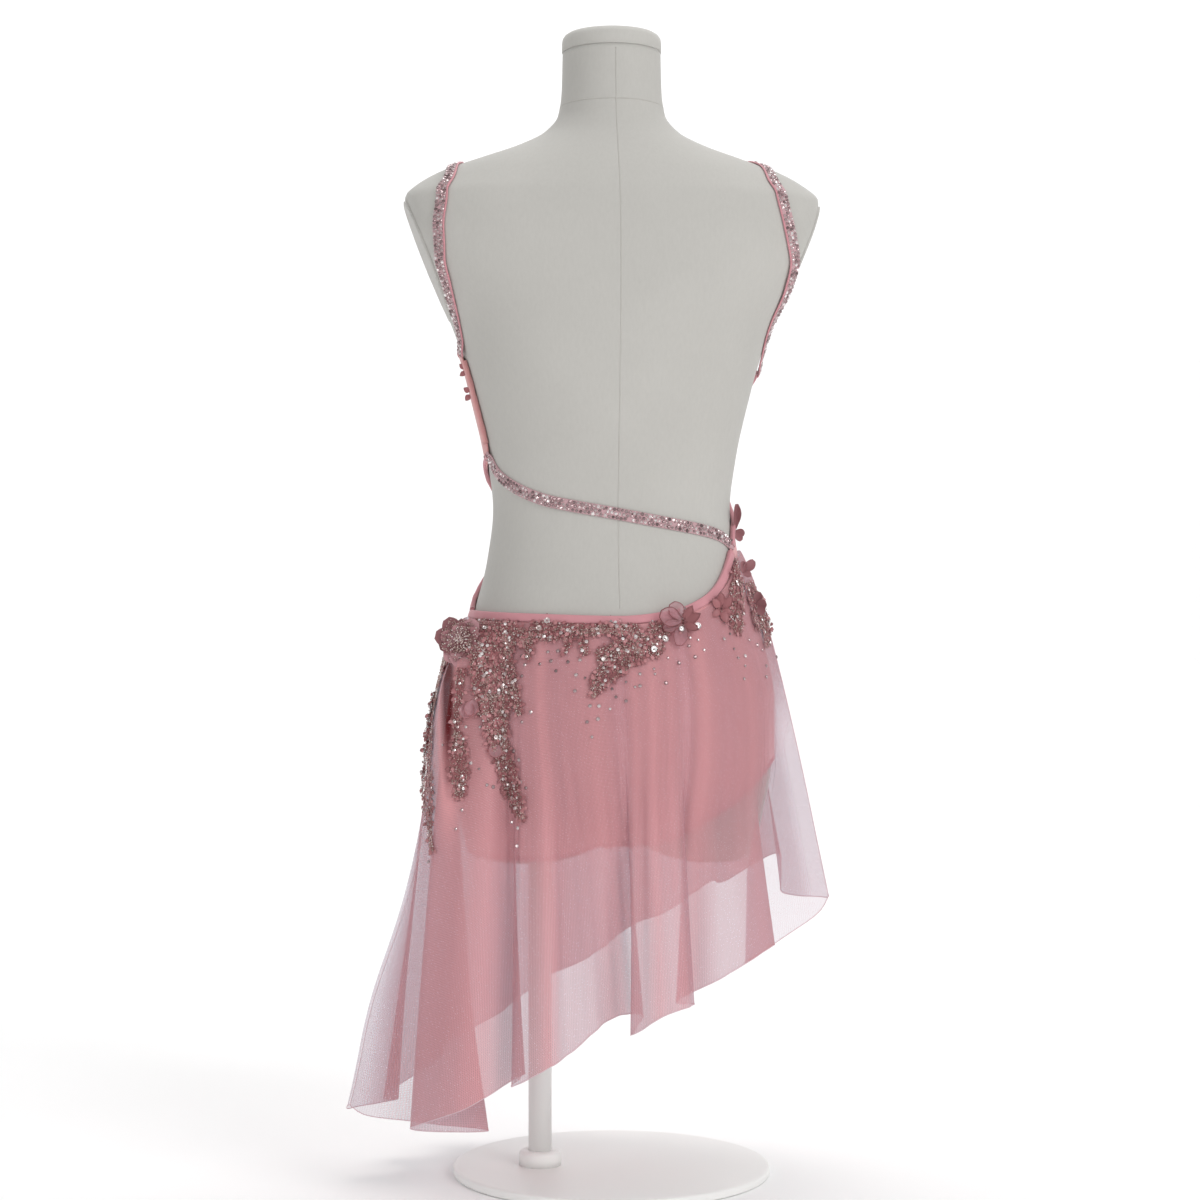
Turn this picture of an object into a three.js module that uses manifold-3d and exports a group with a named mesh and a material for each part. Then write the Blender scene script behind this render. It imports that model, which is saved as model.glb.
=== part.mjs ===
// Lyrical dance dress on a limbless dress form with a plain pole stand.
// Millimetres. +X is the wearer's right, +Y the wearer's front, +Z up.
// The origin is the centre of the base plate's underside, straight below the form's centre line.
// Angles run round the form seen from above: 0 = wearer's right, 90 = front, 180 = left, 270 = back.

import * as THREE from 'three';
import { mergeVertices } from 'three/addons/utils/BufferGeometryUtils.js';
import Module from 'manifold-3d';

const wasm = await Module();
wasm.setup();

// ---------- driving dimensions ----------

const SEAM_GAP = 0.3; // between two pieces sewn edge to edge
const SEAM_GAP_DEG = 0.14; // the same gap, as an angle round the hips
const SKIN_CLEARANCE = 1.5; // between the form and the stretch cloth on it
const BODICE_EASE = 0.3; // the bodice stands off the form this much more than the brief
const STRETCH_CLOTH = 1.2; // bodice and brief
const SHEER_CLOTH = 1.0; // skirt
const SKIRT_CLEARANCE = 4.6; // middle of the skirt's wall to the form
const STRAP = { width: 11, thickness: 2.0, free: 0.9, sewn: 3.3 };
const BINDING = { width: 8, thickness: 1.4, lift: 3.5 };
const APPLIQUE = { thickness: 1.6 };
const GUSSET = { halfWidth: 14, bend: 0.93, seamGap: 1.2 };

const BASE = { radius: 150, thickness: 8, edge: 2 };
const POLE = { x: -68, radius: 11, into: 55, clearance: 0.3, endGap: 2 };
const COLLAR = { radius: 20, height: 14, chamfer: 3 };

// ---------- the dress form ----------

// half = half width, back and front = depth from the centre line, power = how square the section is.
const formSections = [
  { z: 302, half: 132, back: 112, front: 92, power: 2.3 },
  { z: 334, half: 141, back: 120, front: 95, power: 2.3 },
  { z: 391, half: 151, back: 125, front: 98, power: 2.3 },
  { z: 448, half: 152, back: 119, front: 100, power: 2.25 },
  { z: 490, half: 145, back: 107, front: 99, power: 2.2 },
  { z: 534, half: 130, back: 92, front: 94, power: 2.15 },
  { z: 581, half: 118, back: 80, front: 87, power: 2.1 },
  { z: 629, half: 112.5, back: 76, front: 84, power: 2.1 },
  { z: 676, half: 118, back: 82, front: 92, power: 2.1 },
  { z: 733, half: 130.5, back: 93, front: 103, power: 2.15 },
  { z: 771, half: 141, back: 99, front: 107, power: 2.2 },
  { z: 800, half: 152, back: 103, front: 106, power: 2.25 },
  { z: 835, half: 178, back: 106, front: 101, power: 2.3 },
  { z: 860, half: 198, back: 105, front: 96, power: 2.4 },
  { z: 890, half: 211, back: 103, front: 88, power: 2.4 },
  { z: 919, half: 203, back: 96, front: 78, power: 2.4 },
  { z: 933, half: 186, back: 90, front: 72, power: 2.3 },
  { z: 945, half: 165, back: 84, front: 67, power: 2.25 },
  { z: 958, half: 129, back: 76, front: 61, power: 2.2 },
  { z: 971, half: 92, back: 68, front: 55, power: 2.1 },
  { z: 985, half: 65, back: 60, front: 49, power: 2.0 },
  { z: 1002, half: 51, back: 54, front: 46, power: 2.0 },
  { z: 1025, half: 47.5, back: 50, front: 45, power: 2.0 },
  { z: 1062, half: 46.5, back: 48, front: 46, power: 2.0 },
];
const FORM = { bottom: 302, neckSeam: 1062, top: 1075.5, around: 48 };
const ringSpacing = [
  { upTo: 690, step: 24.5 },
  { upTo: 1010, step: 16 },
  { upTo: FORM.neckSeam, step: 26 },
];
const BUST = { lift: 9.5, apart: 72, width: 56, z: 778, tall: 62 };
const LEG_SPLIT = { depth: 0.09, halfWidth: 46, rise: 20, riseWidth: 44, fadeTop: 390 };
// Above the foot of the cut, |x| stays below slope * z - offset.
const ARM_CUT = { slope: 0.4, offset: 172.5, foot: 788, plate: 3, reach: 220, waste: 120 };
const UNDERSIDE_RINGS = [0.35, 0.7]; // shares of the bottom edge's size

// One column of a table at a position, on a smooth curve that never overshoots its rows.
function smoothColumn(rows, at, column) {
  const x = rows.map((row) => row[at]);
  const y = rows.map((row) => row[column]);
  const steps = x.slice(1).map((next, i) => (y[i + 1] - y[i]) / (next - x[i]));
  const slope = y.map((_, i) => {
    if (i === 0) return steps[0];
    if (i === y.length - 1) return steps[i - 1];
    if (steps[i - 1] * steps[i] <= 0) return 0;
    return (2 * steps[i - 1] * steps[i]) / (steps[i - 1] + steps[i]);
  });
  return (where) => {
    const p = Math.min(Math.max(where, x[0]), x[x.length - 1]);
    let i = 0;
    while (i < x.length - 2 && p > x[i + 1]) i += 1;
    const width = x[i + 1] - x[i];
    const t = (p - x[i]) / width;
    const t2 = t * t;
    const t3 = t2 * t;
    return (
      (2 * t3 - 3 * t2 + 1) * y[i] +
      (t3 - 2 * t2 + t) * width * slope[i] +
      (3 * t2 - 2 * t3) * y[i + 1] +
      (t3 - t2) * width * slope[i + 1]
    );
  };
}

// The same for a table that goes once round the form, in degrees.
function roundColumn(rows, column) {
  const turn = (by) => rows.map((row) => ({ ...row, deg: row.deg + by }));
  const f = smoothColumn([...turn(-360), ...rows, ...turn(360)], 'deg', column);
  return (deg) => f(deg);
}

const half = smoothColumn(formSections, 'z', 'half');
const backDepth = smoothColumn(formSections, 'z', 'back');
const frontDepth = smoothColumn(formSections, 'z', 'front');
const squareness = smoothColumn(formSections, 'z', 'power');

const radians = THREE.MathUtils.degToRad;
const mix = THREE.MathUtils.lerp;
const bell = (distance, width) => Math.exp(-((distance / width) ** 2));
const easeIn = (value, from, to) => THREE.MathUtils.smoothstep(value, from, to);

function formRadius(deg, z) {
  const c = Math.abs(Math.cos(radians(deg)));
  const s = Math.sin(radians(deg));
  const depth = s > 0 ? frontDepth(z) : backDepth(z);
  const n = squareness(z);
  return ((c / half(z)) ** n + (Math.abs(s) / depth) ** n) ** (-1 / n);
}

function splitFade(z) {
  return THREE.MathUtils.clamp((LEG_SPLIT.fadeTop - z) / (LEG_SPLIT.fadeTop - FORM.bottom), 0, 1) ** 2;
}

function formPoint(deg, z) {
  const r = formRadius(deg, z);
  const x = r * Math.cos(radians(deg));
  let y = r * Math.sin(radians(deg));
  if (y > 0) {
    const bust = bell(Math.abs(x) - BUST.apart, BUST.width) * bell(z - BUST.z, BUST.tall);
    y += BUST.lift * bust * Math.min(1, y / 40);
  }
  y *= 1 - LEG_SPLIT.depth * splitFade(z) * bell(x, LEG_SPLIT.halfWidth);
  return new THREE.Vector3(x, y, z + LEG_SPLIT.rise * splitFade(z) * bell(x, LEG_SPLIT.riseWidth));
}

function normalOf(surface, a, b, stepA, stepB) {
  const alongA = surface(a + stepA, b).sub(surface(a - stepA, b));
  const alongB = surface(a, b + stepB).sub(surface(a, b - stepB));
  return alongA.cross(alongB).normalize();
}

function onForm(deg, z, offset) {
  const normal = normalOf(formPoint, deg, z, 0.5, 0.5);
  return formPoint(deg, z).addScaledVector(normal, offset);
}

// ---------- closed meshes ----------

function closedGeometry(points, faces) {
  const geometry = new THREE.BufferGeometry().setFromPoints(points);
  let volume = 0;
  for (const [a, b, c] of faces) volume += points[a].dot(points[b].clone().cross(points[c]));
  geometry.setIndex(faces.flatMap(([a, b, c]) => (volume < 0 ? [a, c, b] : [a, b, c])));
  return geometry;
}

// A cloth wall over the unit square: surface(u, v) is its middle or its base, and the wall lies
// from the offset inner to the offset outer along the surface's normal. side is 1 or -1. Both faces
// are split along the same diagonal, which rising turns the other way.
function clothWall(columns, rows, surface, inner, outer, side = 1, rising = true) {
  const points = [];
  const step = 1e-3;
  const inside = (share) => THREE.MathUtils.clamp(share, 2 * step, 1 - 2 * step);
  for (const offset of [inner, outer]) {
    for (let i = 0; i <= columns; i += 1) {
      for (let j = 0; j <= rows; j += 1) {
        const u = i / columns;
        const v = j / rows;
        const reach = typeof offset === 'function' ? offset(u, v) : offset;
        const normal = normalOf(surface, inside(u), inside(v), step, step);
        points.push(surface(u, v).addScaledVector(normal, side * reach));
      }
    }
  }
  const layer = (columns + 1) * (rows + 1);
  const at = (k, i, j) => k * layer + i * (rows + 1) + j;
  const faces = [];
  const quad = (a, b, c, d) => faces.push([a, b, c], [a, c, d]);
  for (let i = 0; i < columns; i += 1) {
    for (let j = 0; j < rows; j += 1) {
      const corners = [[i, j], [i + 1, j], [i + 1, j + 1], [i, j + 1]];
      if (!rising) corners.push(corners.shift());
      const [a, b, c, d] = corners;
      quad(at(1, ...a), at(1, ...b), at(1, ...c), at(1, ...d));
      quad(at(0, ...a), at(0, ...d), at(0, ...c), at(0, ...b));
    }
    quad(at(0, i, 0), at(0, i + 1, 0), at(1, i + 1, 0), at(1, i, 0));
    quad(at(1, i, rows), at(1, i + 1, rows), at(0, i + 1, rows), at(0, i, rows));
  }
  for (let j = 0; j < rows; j += 1) {
    quad(at(1, 0, j), at(1, 0, j + 1), at(0, 0, j + 1), at(0, 0, j));
    quad(at(0, columns, j), at(0, columns, j + 1), at(1, columns, j + 1), at(1, columns, j));
  }
  return closedGeometry(points, faces);
}

// A solid through rings of equal length, closed by a point at each end.
function ringSolid(rings, first, last) {
  const count = rings[0].length;
  const points = [first, ...rings.flat(), last];
  const end = points.length - 1;
  const at = (ring, i) => 1 + ring * count + (i % count);
  const faces = [];
  for (let i = 0; i < count; i += 1) {
    faces.push([0, at(0, i + 1), at(0, i)]);
    faces.push([end, at(rings.length - 1, i), at(rings.length - 1, i + 1)]);
    for (let k = 0; k < rings.length - 1; k += 1) {
      faces.push([at(k, i), at(k, i + 1), at(k + 1, i + 1)], [at(k, i), at(k + 1, i + 1), at(k + 1, i)]);
    }
  }
  return closedGeometry(points, faces);
}

function solidOf(geometry) {
  const bare = geometry.index ? geometry.clone() : geometry;
  bare.deleteAttribute('normal');
  bare.deleteAttribute('uv');
  const merged = mergeVertices(bare, 1e-3);
  return new wasm.Manifold(
    new wasm.Mesh({
      numProp: 3,
      vertProperties: new Float32Array(merged.attributes.position.array),
      triVerts: new Uint32Array(merged.index.array),
    }),
  );
}

function geometryOf(solid) {
  const mesh = solid.getMesh();
  const geometry = new THREE.BufferGeometry();
  geometry.setAttribute('position', new THREE.BufferAttribute(mesh.vertProperties, 3));
  geometry.setIndex(new THREE.BufferAttribute(mesh.triVerts, 1));
  return geometry;
}

// ---------- materials ----------

const material = (color, roughness, metalness = 0) =>
  new THREE.MeshStandardMaterial({ color, roughness, metalness, side: THREE.DoubleSide });
const formCloth = material('#c6c3bd', 0.85);
const formTrim = material('#cfcbc3', 0.6);
const stretchPink = material('#dc8f93', 0.7);
const sheerPink = material('#dfa3a8', 0.6);
const stonedPink = material('#c9929a', 0.4);
const lacePink = material('#a8686d', 0.6);
const petalPink = material('#b9767e', 0.5);
const paintedSteel = material('#e9e7e3', 0.45, 0.2);

const model = new THREE.Group();
function add(name, geometry, finish) {
  const mesh = new THREE.Mesh(geometry, finish);
  mesh.name = name;
  model.add(mesh);
  return mesh;
}

// ---------- form: torso, arm plates and neck cap ----------

function formRing(z) {
  const ring = [];
  for (let i = 0; i < FORM.around; i += 1) ring.push(formPoint((360 * i) / FORM.around, z));
  return ring;
}

function bottomRing(scale) {
  return formRing(FORM.bottom).map(({ x, y }) => {
    const rise = LEG_SPLIT.rise * bell(x * scale, LEG_SPLIT.riseWidth);
    return new THREE.Vector3(x * scale, y * scale, FORM.bottom + rise);
  });
}

function wideTorso() {
  const heights = [FORM.bottom];
  for (const { upTo, step } of ringSpacing) {
    const from = heights[heights.length - 1];
    const count = Math.round((upTo - from) / step);
    for (let k = 1; k <= count; k += 1) heights.push(mix(from, upTo, k / count));
  }
  const rings = [...UNDERSIDE_RINGS.map(bottomRing), ...heights.map(formRing)];
  const bottom = new THREE.Vector3(0, 0, FORM.bottom + LEG_SPLIT.rise);
  return ringSolid(rings, bottom, new THREE.Vector3(0, 0, FORM.neckSeam));
}

// A block whose inner face is the plane that cuts the shoulder end. gap is its distance from that
// plane and from the foot of the cut.
function armBlock(side, gap, thickness) {
  const block = new THREE.BoxGeometry(thickness, 2 * ARM_CUT.reach, ARM_CUT.reach);
  block.translate(side * (gap + thickness / 2), 0, gap + ARM_CUT.reach / 2);
  block.rotateY(side * Math.atan(ARM_CUT.slope));
  block.translate(side * (ARM_CUT.slope * ARM_CUT.foot - ARM_CUT.offset), 0, ARM_CUT.foot);
  return solidOf(block);
}

function addForm() {
  const wide = solidOf(wideTorso());
  const hole = new THREE.CylinderGeometry(
    POLE.radius + POLE.clearance,
    POLE.radius + POLE.clearance,
    2 * POLE.into,
    24,
  );
  hole.rotateX(Math.PI / 2);
  hole.translate(POLE.x, 0, FORM.bottom);
  const ends = [1, -1].map((side) => armBlock(side, 0, ARM_CUT.waste));
  const cut = wide.subtract(ends[0]).subtract(ends[1]).subtract(solidOf(hole));
  add('form_torso', geometryOf(cut), formCloth);
  for (const [name, side] of [['form_arm_plate_right', 1], ['form_arm_plate_left', -1]]) {
    const plate = wide.intersect(armBlock(side, SEAM_GAP, ARM_CUT.plate));
    add(name, geometryOf(plate), formTrim);
  }
  // The neck cap: a low straight side, a rounded edge and a flat top.
  const capRows = [
    { z: FORM.neckSeam + SEAM_GAP, scale: 1.012 },
    { z: FORM.neckSeam + 8, scale: 1.012 },
    { z: FORM.top - 2.4, scale: 0.985 },
    { z: FORM.top - 0.6, scale: 0.93 },
    { z: FORM.top, scale: 0.84 },
  ];
  const neck = formRing(FORM.neckSeam);
  const rings = capRows.map(({ z, scale }) => neck.map((p) => new THREE.Vector3(p.x * scale, p.y * scale, z)));
  const underside = new THREE.Vector3(0, 0, FORM.neckSeam + SEAM_GAP);
  add('form_neck_cap', ringSolid(rings, underside, new THREE.Vector3(0, 0, FORM.top)), formTrim);
}

function addStand() {
  const { radius, thickness, edge } = BASE;
  const outline = [
    [0, 0],
    [radius - edge, 0],
    [radius, edge],
    [radius, thickness - edge],
    [radius - edge, thickness],
    [0, thickness],
  ];
  const plate = new THREE.LatheGeometry(outline.map(([x, y]) => new THREE.Vector2(x, y)), 40);
  plate.rotateX(Math.PI / 2);
  add('stand_base', plate, paintedSteel);
  const poleLow = thickness + SEAM_GAP;
  const poleTop = FORM.bottom + POLE.into - POLE.endGap;
  const pole = new THREE.CylinderGeometry(POLE.radius, POLE.radius, poleTop - poleLow, 24);
  pole.rotateX(Math.PI / 2);
  add('stand_pole', pole, paintedSteel).position.set(POLE.x, 0, (poleLow + poleTop) / 2);
  const inside = POLE.radius + POLE.clearance;
  const ring = [
    [inside, 0],
    [COLLAR.radius, 0],
    [COLLAR.radius, COLLAR.height - COLLAR.chamfer],
    [COLLAR.radius - COLLAR.chamfer, COLLAR.height],
    [inside, COLLAR.height],
    [inside, 0],
  ];
  const collar = new THREE.LatheGeometry(ring.map(([x, y]) => new THREE.Vector2(x, y)), 20);
  collar.rotateX(Math.PI / 2);
  add('stand_collar', collar, paintedSteel).position.set(POLE.x, 0, poleLow);
}

// ---------- seam lines round the body ----------

// Where the bodice meets the brief, low on the left hip and high on the right side.
const waistRows = [
  { deg: 0, z: 598 },
  { deg: 30, z: 590 },
  { deg: 60, z: 573 },
  { deg: 90, z: 558 },
  { deg: 120, z: 546 },
  { deg: 150, z: 537 },
  { deg: 180, z: 533 },
  { deg: 225, z: 529 },
  { deg: 270, z: 527 },
  { deg: 298, z: 532 },
  { deg: 315, z: 543 },
  { deg: 327, z: 557 },
  { deg: 337, z: 576 },
  { deg: 345, z: 593 },
];
const waistHeight = roundColumn(waistRows, 'z');

// The brief's lower edge: full over the left seat, cut high on the right side and in front.
const legRows = [
  { deg: 0, z: 395 },
  { deg: 20, z: 386 },
  { deg: 45, z: 360 },
  { deg: 65, z: 328 },
  { deg: 80, z: 308 },
  { deg: 100, z: 308 },
  { deg: 115, z: 326 },
  { deg: 135, z: 345 },
  { deg: 155, z: 340 },
  { deg: 172, z: 316 },
  { deg: 184, z: 307 },
  { deg: 230, z: 306 },
  { deg: 276, z: 307 },
  { deg: 288, z: 318 },
  { deg: 305, z: 341 },
  { deg: 318, z: 358 },
  { deg: 332, z: 380 },
  { deg: 345, z: 392 },
];
const legHeight = roundColumn(legRows, 'z');

// A line over the body through rows of an angle and a height.
function bodyLine(rows) {
  return new THREE.SplineCurve(rows.map(({ deg, z }) => new THREE.Vector2(deg, z)));
}

const necklineRows = [
  { deg: 188, z: 772 },
  { deg: 170, z: 781 },
  { deg: 147, z: 820 },
  { deg: 130, z: 862 },
  { deg: 117, z: 833 },
  { deg: 104, z: 783 },
  { deg: 90, z: 748 },
  { deg: 76, z: 783 },
  { deg: 63, z: 833 },
  { deg: 50, z: 862 },
  { deg: 33, z: 820 },
  { deg: 14, z: 782 },
  { deg: 4, z: 762 },
];
const leftEdgeRows = [
  { deg: 184, z: 533.4 },
  { deg: 171, z: 552 },
  { deg: 158, z: 582 },
  { deg: 156, z: 612 },
  { deg: 163, z: 638 },
  { deg: 178, z: 658 },
  { deg: 190, z: 678 },
  { deg: 189, z: 730 },
  { deg: 188, z: 772 },
];
const rightEdgeRows = [
  { deg: -15, z: 593.4 },
  { deg: -8, z: 612 },
  { deg: 8, z: 634 },
  { deg: 21, z: 662 },
  { deg: 24, z: 700 },
  { deg: 16, z: 735 },
  { deg: 4, z: 762 },
];

// Inside of four edges, each a function from 0..1 to an angle and a height.
function betweenEdges(lower, upper, left, right) {
  return (u, v) => {
    const [l, h, w, e] = [lower(u), upper(u), left(v), right(v)];
    const corners = lower(0)
      .clone()
      .multiplyScalar((1 - u) * (1 - v))
      .addScaledVector(lower(1), u * (1 - v))
      .addScaledVector(upper(0), (1 - u) * v)
      .addScaledVector(upper(1), u * v);
    return l
      .clone()
      .multiplyScalar(1 - v)
      .addScaledVector(h, v)
      .addScaledVector(w, 1 - u)
      .addScaledVector(e, u)
      .sub(corners);
  };
}

function addBodice() {
  const neckline = bodyLine(necklineRows);
  const leftEdge = bodyLine(leftEdgeRows);
  const rightEdge = bodyLine(rightEdgeRows);
  const lower = (u) => {
    const deg = mix(leftEdgeRows[0].deg, rightEdgeRows[0].deg, u);
    return new THREE.Vector2(deg, waistHeight(deg) + SEAM_GAP);
  };
  const place = betweenEdges(
    lower,
    (u) => neckline.getPoint(u),
    (v) => leftEdge.getPoint(v),
    (v) => rightEdge.getPoint(v),
  );
  const surface = (u, v) => {
    const at = place(u, v);
    return formPoint(at.x, at.y);
  };
  const inner = SKIN_CLEARANCE + BODICE_EASE;
  const geometry = clothWall(28, 14, surface, inner, inner + STRETCH_CLOTH, -1, false);
  add('bodice_front', geometry, stretchPink);
}

function addBriefPanel(name, fromDeg, toDeg) {
  const surface = (u, v) => {
    const deg = mix(fromDeg + SEAM_GAP_DEG / 2, toDeg - SEAM_GAP_DEG / 2, u);
    return formPoint(deg, mix(legHeight(deg), waistHeight(deg), v));
  };
  const geometry = clothWall(24, 9, surface, SKIN_CLEARANCE, SKIN_CLEARANCE + STRETCH_CLOTH, 1, false);
  add(name, geometry, stretchPink);
}

// The brief's gusset: a strip under the leg split that joins its back to its front.
function addGusset() {
  const { halfWidth, bend, seamGap } = GUSSET;
  const below = SKIN_CLEARANCE + STRETCH_CLOTH;
  const seamZ = legRows.find((row) => row.deg === 230).z - seamGap;
  const end = (sign, x) => {
    const middle = formPoint(sign * 90, seamZ);
    const deg = THREE.MathUtils.radToDeg(Math.atan2(middle.y, x));
    const p = formPoint(deg, seamZ);
    return new THREE.Vector3(x, p.y + sign * (SKIN_CLEARANCE + STRETCH_CLOTH / 2), p.z);
  };
  const under = (x, y) => {
    const z = FORM.bottom + LEG_SPLIT.rise * bell(x, LEG_SPLIT.riseWidth) - below / 2 - 2 * SKIN_CLEARANCE;
    return new THREE.Vector3(x, y, z);
  };
  const surface = (u, v) => {
    const x = mix(-halfWidth, halfWidth, u);
    const backTop = end(-1, x);
    const frontTop = end(1, x);
    const path = [backTop, under(x, backTop.y * bend), under(x, 0), under(x, frontTop.y * bend), frontTop];
    return new THREE.CatmullRomCurve3(path, false, 'centripetal').getPoint(v);
  };
  add('brief_gusset', clothWall(2, 10, surface, -STRETCH_CLOTH / 2, STRETCH_CLOTH / 2), stretchPink);
}

// ---------- straps and bindings ----------

// A flat band along a line over the body. lift(v) is how far its underside stands off the form.
function bodyBand(line, width, thickness, lift, rows) {
  const along = (v) => {
    const at = line.getPoint(v);
    return onForm(at.x, at.y, lift(v));
  };
  const surface = (u, v) => {
    const inner = THREE.MathUtils.clamp(v, 0.002, 0.998);
    const at = line.getPoint(inner);
    const forward = along(inner + 0.002).sub(along(inner - 0.002)).normalize();
    const up = normalOf(formPoint, at.x, at.y, 0.5, 0.5);
    const across = forward.cross(up).normalize();
    return along(v).addScaledVector(across, (u - 0.5) * width);
  };
  const crown = (u) => thickness * (0.8 + 0.2 * Math.sin(Math.PI * u));
  return clothWall(2, rows, surface, 0, crown, 1);
}

// Over each shoulder: from the neckline's peak in front to the bodice's side edge.
// toFront is the angle from the side of the body towards the front.
const frontStrapRows = [
  { toFront: 50, z: 856 },
  { toFront: 44, z: 880 },
  { toFront: 36, z: 904 },
  { toFront: 26, z: 926 },
];
const leftStrapRows = [
  { toFront: 14, z: 943 },
  { toFront: 1, z: 952 },
  { toFront: -11, z: 948 },
  { toFront: -19, z: 936 },
  { toFront: -23, z: 914 },
  { toFront: -24, z: 888 },
  { toFront: -23, z: 862 },
  { toFront: -19, z: 828 },
  { toFront: -13, z: 801 },
  { toFront: -8, z: 774 },
];
const rightStrapRows = [
  { toFront: 14, z: 947 },
  { toFront: 1, z: 956 },
  { toFront: -11, z: 953 },
  { toFront: -20, z: 942 },
  { toFront: -25, z: 923 },
  { toFront: -26, z: 889 },
  { toFront: -22, z: 857 },
  { toFront: -17, z: 829 },
  { toFront: -13, z: 805 },
  { toFront: -8, z: 782 },
  { toFront: 3, z: 762 },
];
const backStrapRows = [
  { deg: 189, z: 680 },
  { deg: 195, z: 662 },
  { deg: 207, z: 647 },
  { deg: 222, z: 636 },
  { deg: 240, z: 629.5 },
  { deg: 262, z: 624 },
  { deg: 291, z: 617 },
  { deg: 323, z: 608.5 },
  { deg: 338, z: 602 },
  { deg: 346, z: 594 },
];
const sideBindingRows = [
  { deg: 188.4, z: 768 },
  { deg: 189, z: 730 },
  { deg: 190, z: 690 },
];

// Stands off the form only as much as the cloth under it needs, near its two sewn ends.
const sewnEnds = (reach) => (v) => {
  const nearEnd = 1 - easeIn(Math.min(v, 1 - v), reach * 0.5, reach);
  return mix(STRAP.free, STRAP.sewn, nearEnd);
};

function addStraps() {
  const side = (rows, toDeg) => bodyLine(rows.map((row) => ({ deg: toDeg(row.toFront), z: row.z })));
  const left = side([...frontStrapRows, ...leftStrapRows], (toFront) => 180 - toFront);
  const right = side([...frontStrapRows, ...rightStrapRows], (toFront) => toFront);
  add('strap_left', bodyBand(left, STRAP.width, STRAP.thickness, sewnEnds(0.14), 40), stonedPink);
  add('strap_right', bodyBand(right, STRAP.width, STRAP.thickness, sewnEnds(0.14), 42), stonedPink);
  const back = bodyBand(bodyLine(backStrapRows), STRAP.width, STRAP.thickness, sewnEnds(0.14), 30);
  add('strap_back', back, stonedPink);
  const sideBinding = bodyBand(bodyLine(sideBindingRows), 6, BINDING.thickness, () => BINDING.lift, 10);
  add('side_binding_left', sideBinding, stretchPink);
  const lowered = BINDING.width / 2 - 0.5;
  const waistRowsBack = [];
  for (let k = 0; k <= 13; k += 1) {
    const deg = mix(184, 342.6, k / 13);
    waistRowsBack.push({ deg, z: waistHeight(deg) - lowered });
  }
  const waistBinding = bodyBand(bodyLine(waistRowsBack), BINDING.width, BINDING.thickness, () => BINDING.lift, 34);
  add('back_waist_binding', waistBinding, stretchPink);
}

// ---------- skirt ----------

const SKIRT = {
  belowWaist: 10.5, // from the waist seam down to the skirt's top edge
  bend: 2.5, // how softly the cloth leaves the seat
  rowSpread: 1.25, // above 1, the mesh is finer over the hips
  tuck: 0.8, // how fast it may turn in under the form's cut end
};

// The hem is cut on a slant: low at the wearer's left, high at the right, higher in front.
const HEM = { backMiddle: 160, backSlope: 0.47, frontMiddle: 190, frontSlope: 0.6, frontY: 90 };

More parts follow.
